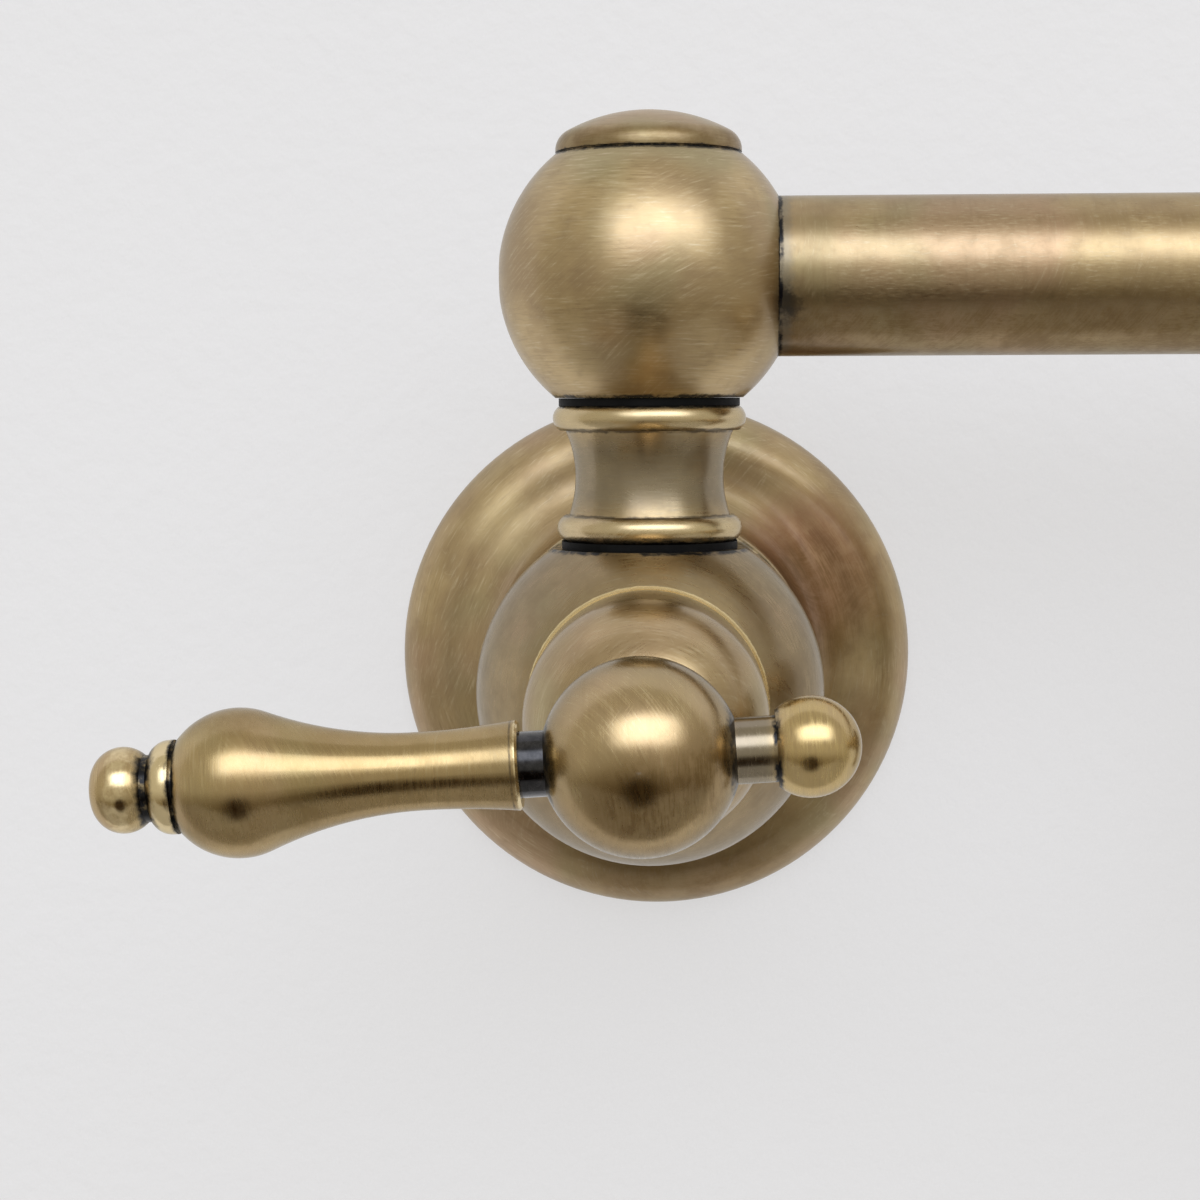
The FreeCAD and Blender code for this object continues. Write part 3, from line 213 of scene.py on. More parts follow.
# The antique brass. Its colours are linear.
GOLD = (0.60, 0.45, 0.24)
BROWN = (0.34, 0.235, 0.13)
OLIVE = (0.42, 0.36, 0.20)
COPPER = (0.55, 0.36, 0.235)
PALE = (0.74, 0.63, 0.43)
TARNISH = (0.235, 0.212, 0.165)
# The next colour is laid by the brown marks: on the hub, lever, bonnet, escutcheon, arms and a spool bead it
# is painted shade and painted dark reflection.
DEEP_BROWN = (0.20, 0.12, 0.04)
# The next colour is that of a painted rosy reflection on the escutcheon.
ROSY_BROWN = (0.46, 0.22, 0.14)
DULL_OLIVE_BROWN = (0.28, 0.215, 0.125)
GILT = (0.68, 0.49, 0.18)
BLACK_PATINA = (0.008, 0.008, 0.011)
# The next colour is bare brass on worn edges, and on some pieces a painted highlight.
BARE_EDGE_AND_HIGHLIGHT = (0.90, 0.74, 0.44)
EDGE_TINT = (0.70, 0.68, 0.62)  # what the metal's reflections fade to at a glancing angle

# Brush strokes: their length and width, in millimetres.
FINE_STROKE = (2.8, 0.24)
SLANTED_STROKE = (3.0, 0.30)
COARSE_STROKE = (7.0, 0.8)
HAIRLINE = (9.0, 0.9)
TUBE_STROKE = (1.1, 0.22)

GRAIN_ROUGH = 0.62  # how much the strokes' finest detail shows
POLISH = 0.235  # roughness of the smoothest brass
RELIEF_STRENGTH = 0.4
RELIEF_DEPTH = 0.02  # millimetres
LACQUER = 0.45
LACQUER_ROUGH = 0.17
STRETCH = 0.3  # how much longer than round the highlights are
ACROSS_BRUSHING = 0.25  # turns the highlights, so that they run across the brush strokes
TURN_START = 0.3  # share of a tube's run over which its brushing is still wholly around it

MARK_SOCKETS = ("Patina", "Wear and highlight", "Tarnish", "Brown", "Tinted")


def brushed_brass(name, two_ways):
    """The finish that all the antique brass shares: short brushed lines around the axis, rubbed blotches of
    gold, brown, olive and copper, hairline scratches, and black patina, bare edges, painted shade, painted
    highlights and painted reflections where they are asked for.
    With two_ways, the lines run along the axis as far as Lengthwise says."""
    group = bpy.data.node_groups.new(name, "ShaderNodeTree")
    face = group.interface
    face.new_socket("Local", in_out="INPUT", socket_type="NodeSocketVector")
    for socket in ("Radius", "Seed", *MARK_SOCKETS, "Lengthwise"):
        face.new_socket(socket, in_out="INPUT", socket_type="NodeSocketFloat")
    face.new_socket("Tint", in_out="INPUT", socket_type="NodeSocketColor")
    face.new_socket("Colour", in_out="OUTPUT", socket_type="NodeSocketColor")
    for socket in ("Roughness", "Height"):
        face.new_socket(socket, in_out="OUTPUT", socket_type="NodeSocketFloat")
    nodes = Nodes(group)
    given = nodes.add("NodeGroupInput").outputs
    out = nodes.add("NodeGroupOutput")
    x, y, z = nodes.split(given["Local"])

    def shifted(shift):
        return nodes.math("ADD", given["Seed"], shift)

    def strokes(size, shift, tilt=None, detail=3.0):
        """Lines on circles around the axis, or on circles that the tilt's two slopes lean over."""
        length, width = size
        height = z
        if tilt:
            for slope, side in zip(tilt, (x, y)):
                height = nodes.math("ADD", height, nodes.math("MULTIPLY", side, slope))
            layer = shifted(shift)
        else:
            layer = nodes.math("DIVIDE", nodes.math("ADD", given["Radius"], shifted(shift * width)), width)
        place = nodes.join(nodes.math("DIVIDE", x, length), nodes.math("DIVIDE", y, length),
                           nodes.math("DIVIDE", height, width))
        return nodes.noise(place, detail=detail, rough=GRAIN_ROUGH, w=layer)

    def lengthwise_strokes():
        """Lines along the axis."""
        length, width = TUBE_STROKE
        place = nodes.join(nodes.math("DIVIDE", x, width), nodes.math("DIVIDE", y, width),
                           nodes.math("DIVIDE", z, length))
        return nodes.noise(place, detail=3.0, rough=GRAIN_ROUGH, w=shifted(3.0))

    def cloud(scale, shift, detail=3.0, rough=0.55):
        """Blotches, by their number in a millimetre; each shift gives others."""
        return nodes.noise(given["Local"], scale=scale, detail=detail, rough=rough, w=shifted(shift))

    def scratches(tilt, shift):
        """Sparse hairlines: thin contours of a noise that is stretched along its tilted circles."""
        lines = strokes(HAIRLINE, shift, tilt, detail=1.0)
        thin = nodes.ramp(nodes.math("ABSOLUTE", nodes.math("SUBTRACT", lines, 0.5)), 0.010, 0.002)
        return nodes.math("MULTIPLY", thin, nodes.ramp(cloud(0.35, shift + 5.0, detail=2.0), 0.52, 0.66))

    fine = strokes(FINE_STROKE, 0.0)
    if two_ways:
        fine = nodes.between(given["Lengthwise"], fine, lengthwise_strokes())
    slanted = strokes(SLANTED_STROKE, 70.0, tilt=(0.62, -0.35))
    blotch = cloud(0.075, 20.0)
    rubbed_and_highlight = nodes.ramp(blotch, 0.46, 0.58)
    grain = nodes.between(nodes.math("MULTIPLY", rubbed_and_highlight, 0.75), fine, slanted)
    coarse = strokes(COARSE_STROKE, 11.0, detail=2.0)
    olive = cloud(0.055, 31.0, detail=2.0)
    copper = cloud(0.05, 37.0, detail=2.0)
    smudge = cloud(0.34, 43.0, detail=5.0, rough=0.66)
    speckle = cloud(4.5, 57.0, rough=0.7)
    hairs = nodes.math("MAXIMUM", scratches((0.75, 0.3), 81.0), scratches((-0.45, 0.6), 93.0))

    # Each layer is a noise, the two values that it comes up between, its strength and its colour.
    tone = GOLD
    for mask, first, full, strength, over in (
            (blotch, 0.34, 0.68, 0.75, BROWN), (olive, 0.44, 0.66, 0.75, OLIVE),
            (copper, 0.5, 0.68, 0.65, COPPER), (smudge, 0.52, 0.76, 0.38, BROWN),
            (grain, 0.5, 0.76, 0.7, PALE), (grain, 0.5, 0.24, 0.6, BROWN),
            (coarse, 0.5, 0.28, 0.22, BROWN), (speckle, 0.64, 0.8, 0.18, TARNISH)):
        tone = nodes.blend(nodes.ramp(mask, first, full, 0.0, strength), tone, over)
    tone = nodes.blend(nodes.math("MULTIPLY", hairs, 0.15), tone, PALE)

    # What a piece's own marks add: stains, bare edges and black patina, and on some pieces painted shade,
    # painted highlights and painted reflections. Stains, painted shade and painted reflections take the
    # brushing's streaks, and patina comes off in places.
    streaks = nodes.math("ADD", nodes.math("MULTIPLY", grain, 0.5), nodes.math("MULTIPLY", smudge, 0.5))
    streaked = nodes.ramp(streaks, 0.38, 0.6, 0.55, 1.0)
    tone = nodes.blend(nodes.math("MULTIPLY", given["Tinted"], streaked), tone, given["Tint"])
    tone = nodes.blend(nodes.math("MULTIPLY", given["Brown"], streaked), tone, DEEP_BROWN)
    tone = nodes.blend(given["Tarnish"], tone, TARNISH)
    # The wear marks: bare worn edges, and painted highlights on some pieces.
    tone = nodes.blend(given["Wear and highlight"], tone, BARE_EDGE_AND_HIGHLIGHT)
    broken = nodes.ramp(cloud(0.55, 61.0, detail=4.0, rough=0.6), 0.36, 0.54, 0.25, 1.0)
    patina = nodes.math("MULTIPLY", given["Patina"], broken)
    tone = nodes.blend(patina, tone, BLACK_PATINA)

    rough = nodes.math("ADD", POLISH, nodes.ramp(grain, 0.3, 0.75, 0.0, 0.11))
    rough = nodes.math("ADD", rough, nodes.ramp(smudge, 0.35, 0.75, 0.0, 0.08))
    for mark, share in ((given["Wear and highlight"], -0.06), (patina, 0.2)):
        rough = nodes.math("ADD", rough, nodes.math("MULTIPLY", mark, share))
    height = grain
    for relief, share in ((coarse, 0.7), (speckle, 0.3), (hairs, -0.25)):
        height = nodes.math("ADD", height, nodes.math("MULTIPLY", relief, share))
    nodes.feed(out.inputs["Colour"], tone)
    nodes.feed(out.inputs["Roughness"], rough)
    nodes.feed(out.inputs["Height"], height)
    return group


BRASS_AROUND = brushed_brass("brushed_brass", False)
BRASS_ALONG = brushed_brass("brushed_tube_brass", True)


class Coordinates:
    """Where a point lies about one lathe: its local place, height along the axis, and distances, in mm."""

    def __init__(self, nodes, lathe):
        turn = lathe.turn()
        mapping = nodes.add("ShaderNodeMapping", vector_type="POINT")
        nodes.feed(mapping.inputs["Vector"], nodes.object_place())
        mapping.inputs["Location"].default_value = -(turn @ lathe.origin) * MM
        mapping.inputs["Rotation"].default_value = turn.to_euler()
        mapping.inputs["Scale"].default_value = (MM, MM, MM)
        self.local = mapping.outputs[0]
        x, y, self.along = nodes.split(self.local)
        self.radius = nodes.vector("LENGTH", nodes.join(x, y, 0.0))
        self.distance = nodes.vector("LENGTH", self.local)


class Mark(NamedTuple):
    """A soft band of patina, bare edge, stain, painted shade, painted highlight or painted reflection. It
    lies at one place of one of the coordinates and reaches to both sides of it, in millimetres. lathe is what
    it is measured from, where that isn't the piece's own."""
    coordinate: str
    place: float
    reach: float
    strength: float
    lathe: object


def ring(level, reach, strength, lathe=None):
    """A mark around the axis, at one level along it."""
    return Mark("along", level, reach, strength, lathe)


def rim(radius, reach, strength):
    """A mark at one radius from the axis."""
    return Mark("radius", radius, reach, strength, None)


def patch(lathe, reach, strength, away=0.0):
    """A mark about a lathe's point, or at a distance from it."""
    return Mark("distance", away, reach, strength, lathe)


RAGGEDNESS = 1.3  # how far a mark's edge strays, as a share of its reach
MOST_RAGGED = 1.3  # millimetres
FULL_SHARE = 0.35  # share of a mark's reach in which it is at its full strength


def bands(nodes, home, ragged, marks):
    """The strongest of several marks, with ragged edges."""
    total = None
    for mark in marks:
        about = Coordinates(nodes, mark.lathe) if mark.lathe else home
        away = nodes.math("ABSOLUTE", nodes.math("SUBTRACT", getattr(about, mark.coordinate), mark.place))
        stray = nodes.math("MULTIPLY", ragged, min(mark.reach * RAGGEDNESS, MOST_RAGGED))
        away = nodes.math("ADD", away, stray)
        band = nodes.ramp(away, mark.reach, mark.reach * FULL_SHARE, 0.0, mark.strength)
        total = band if total is None else nodes.math("MAXIMUM", total, band)
    return 0.0 if total is None else total


def dress_in_brass(node, name, lathe, seed, patina=(), wear_and_highlight=(), tarnish=(), brown=(), tinted=(), tint=GILT,
                   dull=0.0, tube=None, pole=None):
    """Antique brass on one piece, brushed around the piece's own axis. dull is added to the roughness.
    tube is the first place, last place and run, in millimetres, over which the brushing turns from around the
    axis to along it. pole is the centre and the tip of a ball whose shading is kept round at its tip."""
    material, nodes, shader = new_material(name)
    home = Coordinates(nodes, lathe)
    ragged = nodes.math("SUBTRACT", nodes.noise(home.local, scale=1.1, detail=4.0, rough=0.65), 0.5)
    group = nodes.add("ShaderNodeGroup")
    group.node_tree = BRASS_ALONG if tube else BRASS_AROUND
    nodes.feed(group.inputs["Local"], home.local)
    nodes.feed(group.inputs["Radius"], home.radius)
    group.inputs["Seed"].default_value = seed
    for socket, marks in zip(MARK_SOCKETS, (patina, wear_and_highlight, tarnish, brown, tinted)):
        nodes.feed(group.inputs[socket], bands(nodes, home, ragged, marks))
    group.inputs["Tint"].default_value = colour(tint)
    if tube:
        first, last, run = tube
        inward = nodes.math("MINIMUM", nodes.math("SUBTRACT", home.along, first),
                            nodes.math("SUBTRACT", last, home.along))
        nodes.feed(group.inputs["Lengthwise"], nodes.ramp(inward, run * TURN_START, run))
    around = nodes.vector("CROSS_PRODUCT", tuple(lathe.along),
                          nodes.vector("SUBTRACT", nodes.object_place(), tuple(lathe.origin)))
    nodes.feed(shader.inputs["Tangent"], nodes.to_world("VECTOR", tuple(lathe.along) if tube else around))
    nodes.feed(shader.inputs["Base Color"], group.outputs["Colour"])
    nodes.feed(shader.inputs["Roughness"], nodes.math("ADD", group.outputs["Roughness"], dull))
    nodes.feed(shader.inputs["Normal"], nodes.bump(
        group.outputs["Height"], RELIEF_STRENGTH, RELIEF_DEPTH, round_tip(nodes, *pole) if pole else None))
    shader.inputs["Metallic"].default_value = 1.0
    shader.inputs["Anisotropic"].default_value = STRETCH
    shader.inputs["Anisotropic Rotation"].default_value = ACROSS_BRUSHING
    shader.inputs["Specular Tint"].default_value = colour(EDGE_TINT)
    shader.inputs["Coat Weight"].default_value = LACQUER
    shader.inputs["Coat Roughness"].default_value = LACQUER_ROUGH
    dress(node, material)


ROUND_TIP = 1.4  # millimetres from a ball's tip within which its shading is the ball's
ROUND_TIP_END = 2.4  # and where the mesh's own takes over


def round_tip(nodes, centre, tip):
    """The shading normal of a ball within a little of its tip, and the surface's own elsewhere."""
    place = nodes.object_place()
    ball = nodes.to_world("NORMAL", nodes.vector("SUBTRACT", place, tuple(centre)))
    away = nodes.math("MULTIPLY", nodes.vector("DISTANCE", place, tuple(tip)), MM)
    mix = nodes.add("ShaderNodeMix", data_type="VECTOR")
    nodes.feed(mix.inputs[0], nodes.ramp(away, ROUND_TIP_END, ROUND_TIP))
    nodes.feed(mix.inputs[4], nodes.add("ShaderNodeNewGeometry").outputs["Normal"])
    nodes.feed(mix.inputs[5], ball)
    return nodes.vector("NORMALIZE", mix.outputs[1])


# The other stuffs.
ROUGH_SPREAD = 0.06


def plain_finish(name, dark, light, rough, grain, relief, metallic=0.0, coat=0.0, specular=0.5):
    """A finish of one stuff: a fine mottle between two close colours. grain, its size, and relief, the depth
    of its bump, are in millimetres."""
    material, nodes, shader = new_material(name)
    place = nodes.object_millimetres()
    mottle = nodes.noise(place, scale=1.0 / grain, detail=4.0, rough=0.6)
    wide = nodes.noise(place, scale=0.15 / grain, detail=2.0)
    mixed = nodes.math("MULTIPLY", nodes.math("ADD", mottle, wide), 0.5)
    nodes.feed(shader.inputs["Base Color"], nodes.blend(nodes.ramp(mixed, 0.35, 0.65), dark, light))
    nodes.feed(shader.inputs["Roughness"],
               nodes.ramp(mottle, 0.3, 0.7, rough - ROUGH_SPREAD, rough + ROUGH_SPREAD))
    nodes.feed(shader.inputs["Normal"], nodes.bump(mottle, 0.5, relief))
    shader.inputs["Metallic"].default_value = metallic
    shader.inputs["Specular IOR Level"].default_value = specular
    shader.inputs["Coat Weight"].default_value = coat
    return material


RUBBER = plain_finish("black_rubber_looks", (0.002, 0.002, 0.0022), (0.006, 0.006, 0.0065),
                      rough=0.6, grain=0.5, relief=0.02, specular=0.12)
CERAMIC = plain_finish("ceramic_looks", (0.74, 0.73, 0.70), (0.82, 0.81, 0.78),
                       rough=0.15, grain=0.8, relief=0.004, coat=0.3)
STEEL = plain_finish("steel_looks", (0.42, 0.42, 0.43), (0.60, 0.60, 0.61),
                     rough=0.3, grain=0.4, relief=0.01, metallic=1.0)
BEARING = plain_finish("bearing_plastic_looks", (0.66, 0.64, 0.56), (0.76, 0.74, 0.66),
                       rough=0.4, grain=0.6, relief=0.01)
AERATOR = plain_finish("aerator_plastic_looks", (0.05, 0.055, 0.06), (0.08, 0.085, 0.09),
                       rough=0.42, grain=0.5, relief=0.01)
TURNED = plain_finish("turned_brass_looks", (0.62, 0.47, 0.22), (0.78, 0.60, 0.30),
                      rough=0.25, grain=0.35, relief=0.008, metallic=1.0)
BLACKENED = plain_finish("blackened_brass_looks", (0.006, 0.006, 0.009), (0.045, 0.043, 0.046),
                         rough=0.25, grain=0.7, relief=0.02, metallic=1.0, coat=0.7)
SLOT_LOOKS = {"black_rubber": RUBBER, "white_ceramic": CERAMIC, "steel": STEEL, "bearing_plastic": BEARING,
              "aerator_plastic": AERATOR, "plain_brass": TURNED, "blackened_brass": BLACKENED}


def dress_plain_pieces():
    """Gives every node that isn't antique brass the looks of its slot in the record."""
    for subpart in frame["record"]["subparts"]:
        if subpart["material_slot"] in SLOT_LOOKS:
            dress(subpart["node"], SLOT_LOOKS[subpart["material_slot"]])


# The antique brass of each piece.


def dress_elbow(prefix, seed):
    """An elbow's ball, with its cap and the spool under it."""
    centre = middle(prefix + "_elbow_cap")
    upright = Lathe((centre.x, centre.y, 0.0), UPWARD)
    low, high = upright.span(prefix + "_elbow_ball")
    dress_in_brass(prefix + "_elbow_cap", prefix + "_cap_brass", upright, seed + 1, dull=0.09,
                   brown=[ring(high + 0.9, 2.4, 0.8)], patina=[ring(high, 0.55, 1.0)])
    dress_in_brass(prefix + "_elbow_ball", prefix + "_elbow_brass", upright, seed + 2, dull=0.05,
                   patina=[ring(low, 0.5, 0.95), ring(high, 0.3, 0.8),
                           tube_seam(centre, (low + high) / 2, 1.0 if prefix == "wall" else -1.0)])
    dress_spool(prefix, upright, seed + 3)


def tube_seam(centre, level, side):
    """The dark ring on an elbow ball where its tube enters, on the side of +X or -X."""
    mouth = Lathe((centre.x + side * TUBE_MOUTH, centre.y, level / MM), UPWARD)
    return patch(mouth, 0.4, 0.95, away=TUBE_RADIUS * MM)


def dress_spool(prefix, upright, seed):
    """The neck between two balls: a grey waist between a bead at its foot, lit by a painted highlight, and a
    bead at its top, darkened by painted shade under the ball.
    """
    high = upright.span(prefix + "_neck_spool")[1]
    low_bead = high - SPOOL_LENGTH + LOW_BEAD
    high_bead = high - HIGH_BEAD
    waist = (low_bead + high_bead) / 2
    dress_in_brass(
        prefix + "_neck_spool", prefix + "_spool_brass", upright, seed,
        patina=[ring(high - SPOOL_LENGTH, 0.5, 0.95), ring(low_bead, 0.25, 0.6), ring(high_bead, 0.35, 0.65),
                ring(high, 0.4, 0.95)],
        tarnish=[ring(waist, 6.2, 0.5)], tint=DULL_OLIVE_BROWN, tinted=[ring(waist, 6.2, 0.5)],
        # The second brown ring, on the top's bead under the ball, is painted shade.
        brown=[ring(waist, 8.0, 0.4), ring(high - HIGH_BEAD / 2, 2.2, 0.5)],
        # The ring of wear on the foot's bead is a painted highlight; the wear on the beads' rims is bare worn
        # brass and partly a painted highlight.
        wear_and_highlight=[rim(BEAD_RADIUS, 0.9, 0.45), ring(low_bead - LOW_BEAD / 2, 1.8, 0.4)])


def dress_lower_ball(seed):
    """The ball that hangs under the middle joint's spool, and its cap."""
    axis = middle("mid_elbow_cap")
    upright = Lathe((axis.x, axis.y, 0.0), UPWARD)
    low, high = upright.span("mid_lower_ball")
    dress_in_brass("mid_lower_ball", "lower_ball_brass", upright, seed,
                   patina=[ring(low, 0.5, 0.8), ring(high, 0.7, 0.95),
                           tube_seam(axis, (low + high) / 2, -1.0)])
    dress_in_brass("mid_lower_cap", "lower_cap_brass", upright, seed + 1, patina=[ring(low - 0.2, 0.75, 1.0)])


class Valve:
    """The axes of one valve: forward out of its ball, and along its lever from the hub's centre."""

    def __init__(self, prefix, lever_sign):
        bonnet = middle(prefix + "_bonnet")
        hub_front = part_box(prefix + "_lever_hub")[0].y
        self.prefix = prefix
        self.forward = Lathe((bonnet.x, 0.0, bonnet.z), OUTWARD)
        self.hub = Vector((bonnet.x, hub_front + HUB_RADIUS, bonnet.z))
        self.lever = Lathe(self.hub, (lever_sign * math.cos(LEVER_DROOP), 0.0, -math.sin(LEVER_DROOP)))
        self.under = Lathe(self.hub, self.lever.along.cross(self.forward.along) * lever_sign)


def dress_valve(prefix, lever_sign, seed):
    """The brass of one valve's bonnet and lever."""
    valve = Valve(prefix, lever_sign)
    dress_bonnet(valve, seed + 1)
    dress_hub(valve, seed + 2)
    dress_handle(valve, seed + 3)
    dress_finial(valve, seed + 4)
    dress_counter_finial(valve, seed + 5)


def dress_bonnet(valve, seed):
    """Bright at the edge that meets the ball, bare brass with a painted glint on it, and browner towards the
    handle, which is painted dark reflection.
    """
    start, end = valve.forward.span(valve.prefix + "_bonnet")
    dress_in_brass(valve.prefix + "_bonnet", valve.prefix + "_bonnet_brass", valve.forward, seed,
                   # The brown towards the handle is painted dark reflection; the bright ring at the start is
                   # bare brass and a painted glint.
                   brown=[ring(end, 12.0, 0.6)], wear_and_highlight=[ring(start, 0.5, 1.0)],
                   patina=[ring(end, 0.8, 0.8), ring(start, 0.12, 0.9)])


def dress_hub(valve, seed):
    """A painted highlight above its front, with painted dark reflections around it, beside it and below it,
    and grey towards the wall.
    """
    lever, forward = valve.lever, valve.forward.along
    inner, outer = lever.span(valve.prefix + "_lever_hub")
    front = valve.hub + HUB_RADIUS * forward
    # The place of the painted highlight; the brown marks keep away from it.
    rubbed_and_highlight = front + Vector((0.1, 0.0, 0.35)) * HUB_RADIUS
    beside = front - 0.85 * HUB_RADIUS * lever.along - Vector((0.0, 0.0, 0.2 * HUB_RADIUS))
    below = front - Vector((0.0, 0.0, 0.4 * HUB_RADIUS))
    dress_in_brass(
        valve.prefix + "_lever_hub", valve.prefix + "_hub_brass", lever, seed, dull=-0.055,
        pole=(valve.hub, front), tinted=[patch(None, 40.0, 0.25)],
        tarnish=[ring(HUB_RADIUS * MM, 18.0, 0.65, Lathe(valve.hub, -forward))],
        # The three brown patches are painted dark reflections round the highlight.
        brown=[patch(Lathe(rubbed_and_highlight, lever.along), 14.0, 0.85, away=2.0 * HUB_RADIUS * MM),
               patch(Lathe(beside, lever.along), 10.0, 0.95), patch(Lathe(below, lever.along), 8.5, 0.95)],
        patina=[ring(inner, 0.9, 0.95), ring(outer, 0.9, 0.95)])


def dress_handle(valve, seed):
    """Gilt from its tip on, with painted dark reflections along its top and its underside, and brown towards
    its skirt.
    """
    skirt, tip = valve.lever.span(valve.prefix + "_lever_handle")
    dress_in_brass(
        valve.prefix + "_lever_handle", valve.prefix + "_handle_brass", valve.lever, seed, dull=-0.04,
        wear_and_highlight=[ring(skirt, 0.5, 0.95)], tinted=[ring(tip, 60.0, 0.42)],
        # The two brown rings about the line under the lever are painted dark reflections: one below its
        # highlight, one along its top.
        brown=[ring(3.0, 4.5, 0.6, valve.under), ring(-8.5, 4.5, 0.6, valve.under), ring(skirt, 46.0, 0.4)],
        patina=[ring(tip, 0.5, 1.0), ring(skirt + 0.75, 0.16, 0.55)])


def dress_finial(valve, seed):
    """Black in the grooves on both sides of its disc, and bare on the disc's edge."""
    foot = valve.lever.span(valve.prefix + "_lever_finial")[0]
    dress_in_brass(
        valve.prefix + "_lever_finial", valve.prefix + "_finial_brass", valve.lever, seed, dull=-0.06,
        tinted=[ring(foot, 40.0, 0.4)], patina=[ring(foot + 0.1, 0.7, 1.0), ring(foot + 3.1, 1.3, 1.0)],
        wear_and_highlight=[rim(FINIAL_DISC_RADIUS, 0.7, 0.8)])


def dress_counter_finial(valve, seed):
    """A gilt ball on a grey stem that is black at both ends."""
    lever = valve.lever
    tip = valve.hub + lever.span(valve.prefix + "_counter_finial")[0] / MM * lever.along
    centre = tip + COUNTER_RADIUS * lever.along
    dress_in_brass(
        valve.prefix + "_counter_finial", valve.prefix + "_counter_brass", lever, seed, dull=-0.06,
        pole=(centre, tip), tinted=[ring(-COUNTER_FOOT - 4.0, 8.0, 0.6)],
        tarnish=[ring(-(STEM_SEAT + COUNTER_FOOT) / 2, 3.4, 0.75)],
        patina=[ring(-STEM_SEAT, 0.8, 1.0), ring(-COUNTER_FOOT, 0.55, 1.0)])


def dress_body(node, bonnet_node, seed, boss):
    """A valve ball, darker and greyer towards the wall, with a dark ring round the gasket on its boss and a
    bright rim round its bonnet, bare brass with a painted glint on it. boss is the direction of that boss."""
    bonnet = middle(bonnet_node)
    ball = Lathe((bonnet.x, 0.0, bonnet.z), OUTWARD)
    seat = ball.span(node)[1]
    behind = -AXIS_REACH * MM - BODY_RADIUS
    dress_in_brass(
        # The ring of wear at the seat is bare brass with a painted glint on it.
        node, node + "_brass", ball, seed, wear_and_highlight=[ring(seat, 0.18, 1.0)],
        # The brown, the grey and the dull olive-brown tint make the ball darker and greyer towards the wall.
        brown=[ring(behind, BODY_RADIUS * 2.4, 0.5)], tarnish=[ring(behind, BODY_RADIUS * 2.5, 0.12)],
        tint=DULL_OLIVE_BROWN, tinted=[ring(behind, BODY_RADIUS * 2.6, 0.85)],
        patina=[ring(BOSS_LEVEL, 0.5, 1.0, Lathe((bonnet.x, AXIS_REACH, bonnet.z), boss))])


def on_plate(degrees, radius):
    """A place on the escutcheon, by its angle from +X towards +Z."""
    turn = math.radians(degrees)
    return Lathe((radius * math.cos(turn) / MM, COVE_REACH, radius * math.sin(turn) / MM), OUTWARD)


def dress_escutcheon(seed):
    """The wall plate, with painted shade in brown on the right of its cove and low on it, a painted rosy
    reflection at its upper right and a painted highlight at its upper left.
    """
    forward = Lathe((0.0, 0.0, 0.0), OUTWARD)
    collar_front = forward.span("escutcheon")[1]
    dress_in_brass(
        "escutcheon", "escutcheon_brass", forward, seed, dull=0.1,
        # The brown patches are painted shade.
        brown=[patch(on_plate(20.0, COVE_RADIUS), 17.0, 0.8), patch(on_plate(-80.0, COVE_RADIUS), 24.0, 0.7),
               patch(on_plate(-25.0, COVE_RADIUS), 15.0, 0.6)],
        # The rosy tint is a painted reflection.
        tint=ROSY_BROWN, tinted=[patch(on_plate(30.0, COVE_RADIUS + 1.0), 14.0, 0.95)],
        # The wear at the upper left is a painted highlight.
        wear_and_highlight=[patch(on_plate(138.0, COVE_RADIUS + 5.0), 8.0, 0.35)],
        patina=[ring(collar_front, 0.4, 0.6), ring(0.0, 0.3, 0.5)])


def dress_arm(node, seed):
    """An arm's tube, brushed lengthwise, with painted shade underneath, painted dark reflections below its
    ends, and dark where it leaves the balls.
    """
    centre = middle(node)
    axis = Lathe((0.0, centre.y, centre.z), (1.0, 0.0, 0.0))
    hidden = TUBE_MOUTH * MM - BALL_SOCKET
    start, end = axis.span(node)
    mouths = (start + hidden, end - hidden)
    under = Lathe(axis.origin, DOWNWARD)
    # Dark patches below the ends of the tube: painted dark reflections.
    painted_dark_reflections = [patch(Lathe((mouth / MM, centre.y - TUBE_RADIUS, centre.z - DARK_REFLECTION_DROP), axis.along),
                     4.5, 0.8) for mouth in mouths]
    dress_in_brass(
        node, node + "_brass", axis, seed, dull=0.03, tube=(*mouths, 9.0),
        # The second brown mark, under the tube, is painted shade.
        brown=[rim(TUBE_RADIUS * MM, 20.0, 0.3), ring(TUBE_RADIUS * MM, 10.5, 0.85, under)],
        patina=[*(ring(mouth, 0.6, 1.0) for mouth in mouths), *painted_dark_reflections],
        tarnish=[ring(mouth, 2.0, 0.6) for mouth in mouths])


def dress_spout(seed):
    """The nozzle under the outlet valve, and the aerator's housing at its end."""
    centre = middle("spout_nozzle")
    axis = Lathe((centre.x, centre.y, 0.0), DOWNWARD)
    top = axis.span("spout_gasket")[1]
    end, lip = axis.span("aerator_housing")
    dress_in_brass("spout_nozzle", "nozzle_brass", axis, seed, wear_and_highlight=[rim(BEAD_RADIUS, 0.9, 0.45)],
                   patina=[ring(top, 0.5, 0.95), ring(top + LOW_BEAD, 0.3, 0.85),
                           ring(end - HIGH_BEAD, 0.45, 0.9), ring(end, 0.5, 0.95)])
    dress_in_brass("aerator_housing", "aerator_brass", axis, seed + 1,
                   patina=[ring(end, 0.5, 0.9)], wear_and_highlight=[ring(lip, 0.5, 0.6)])


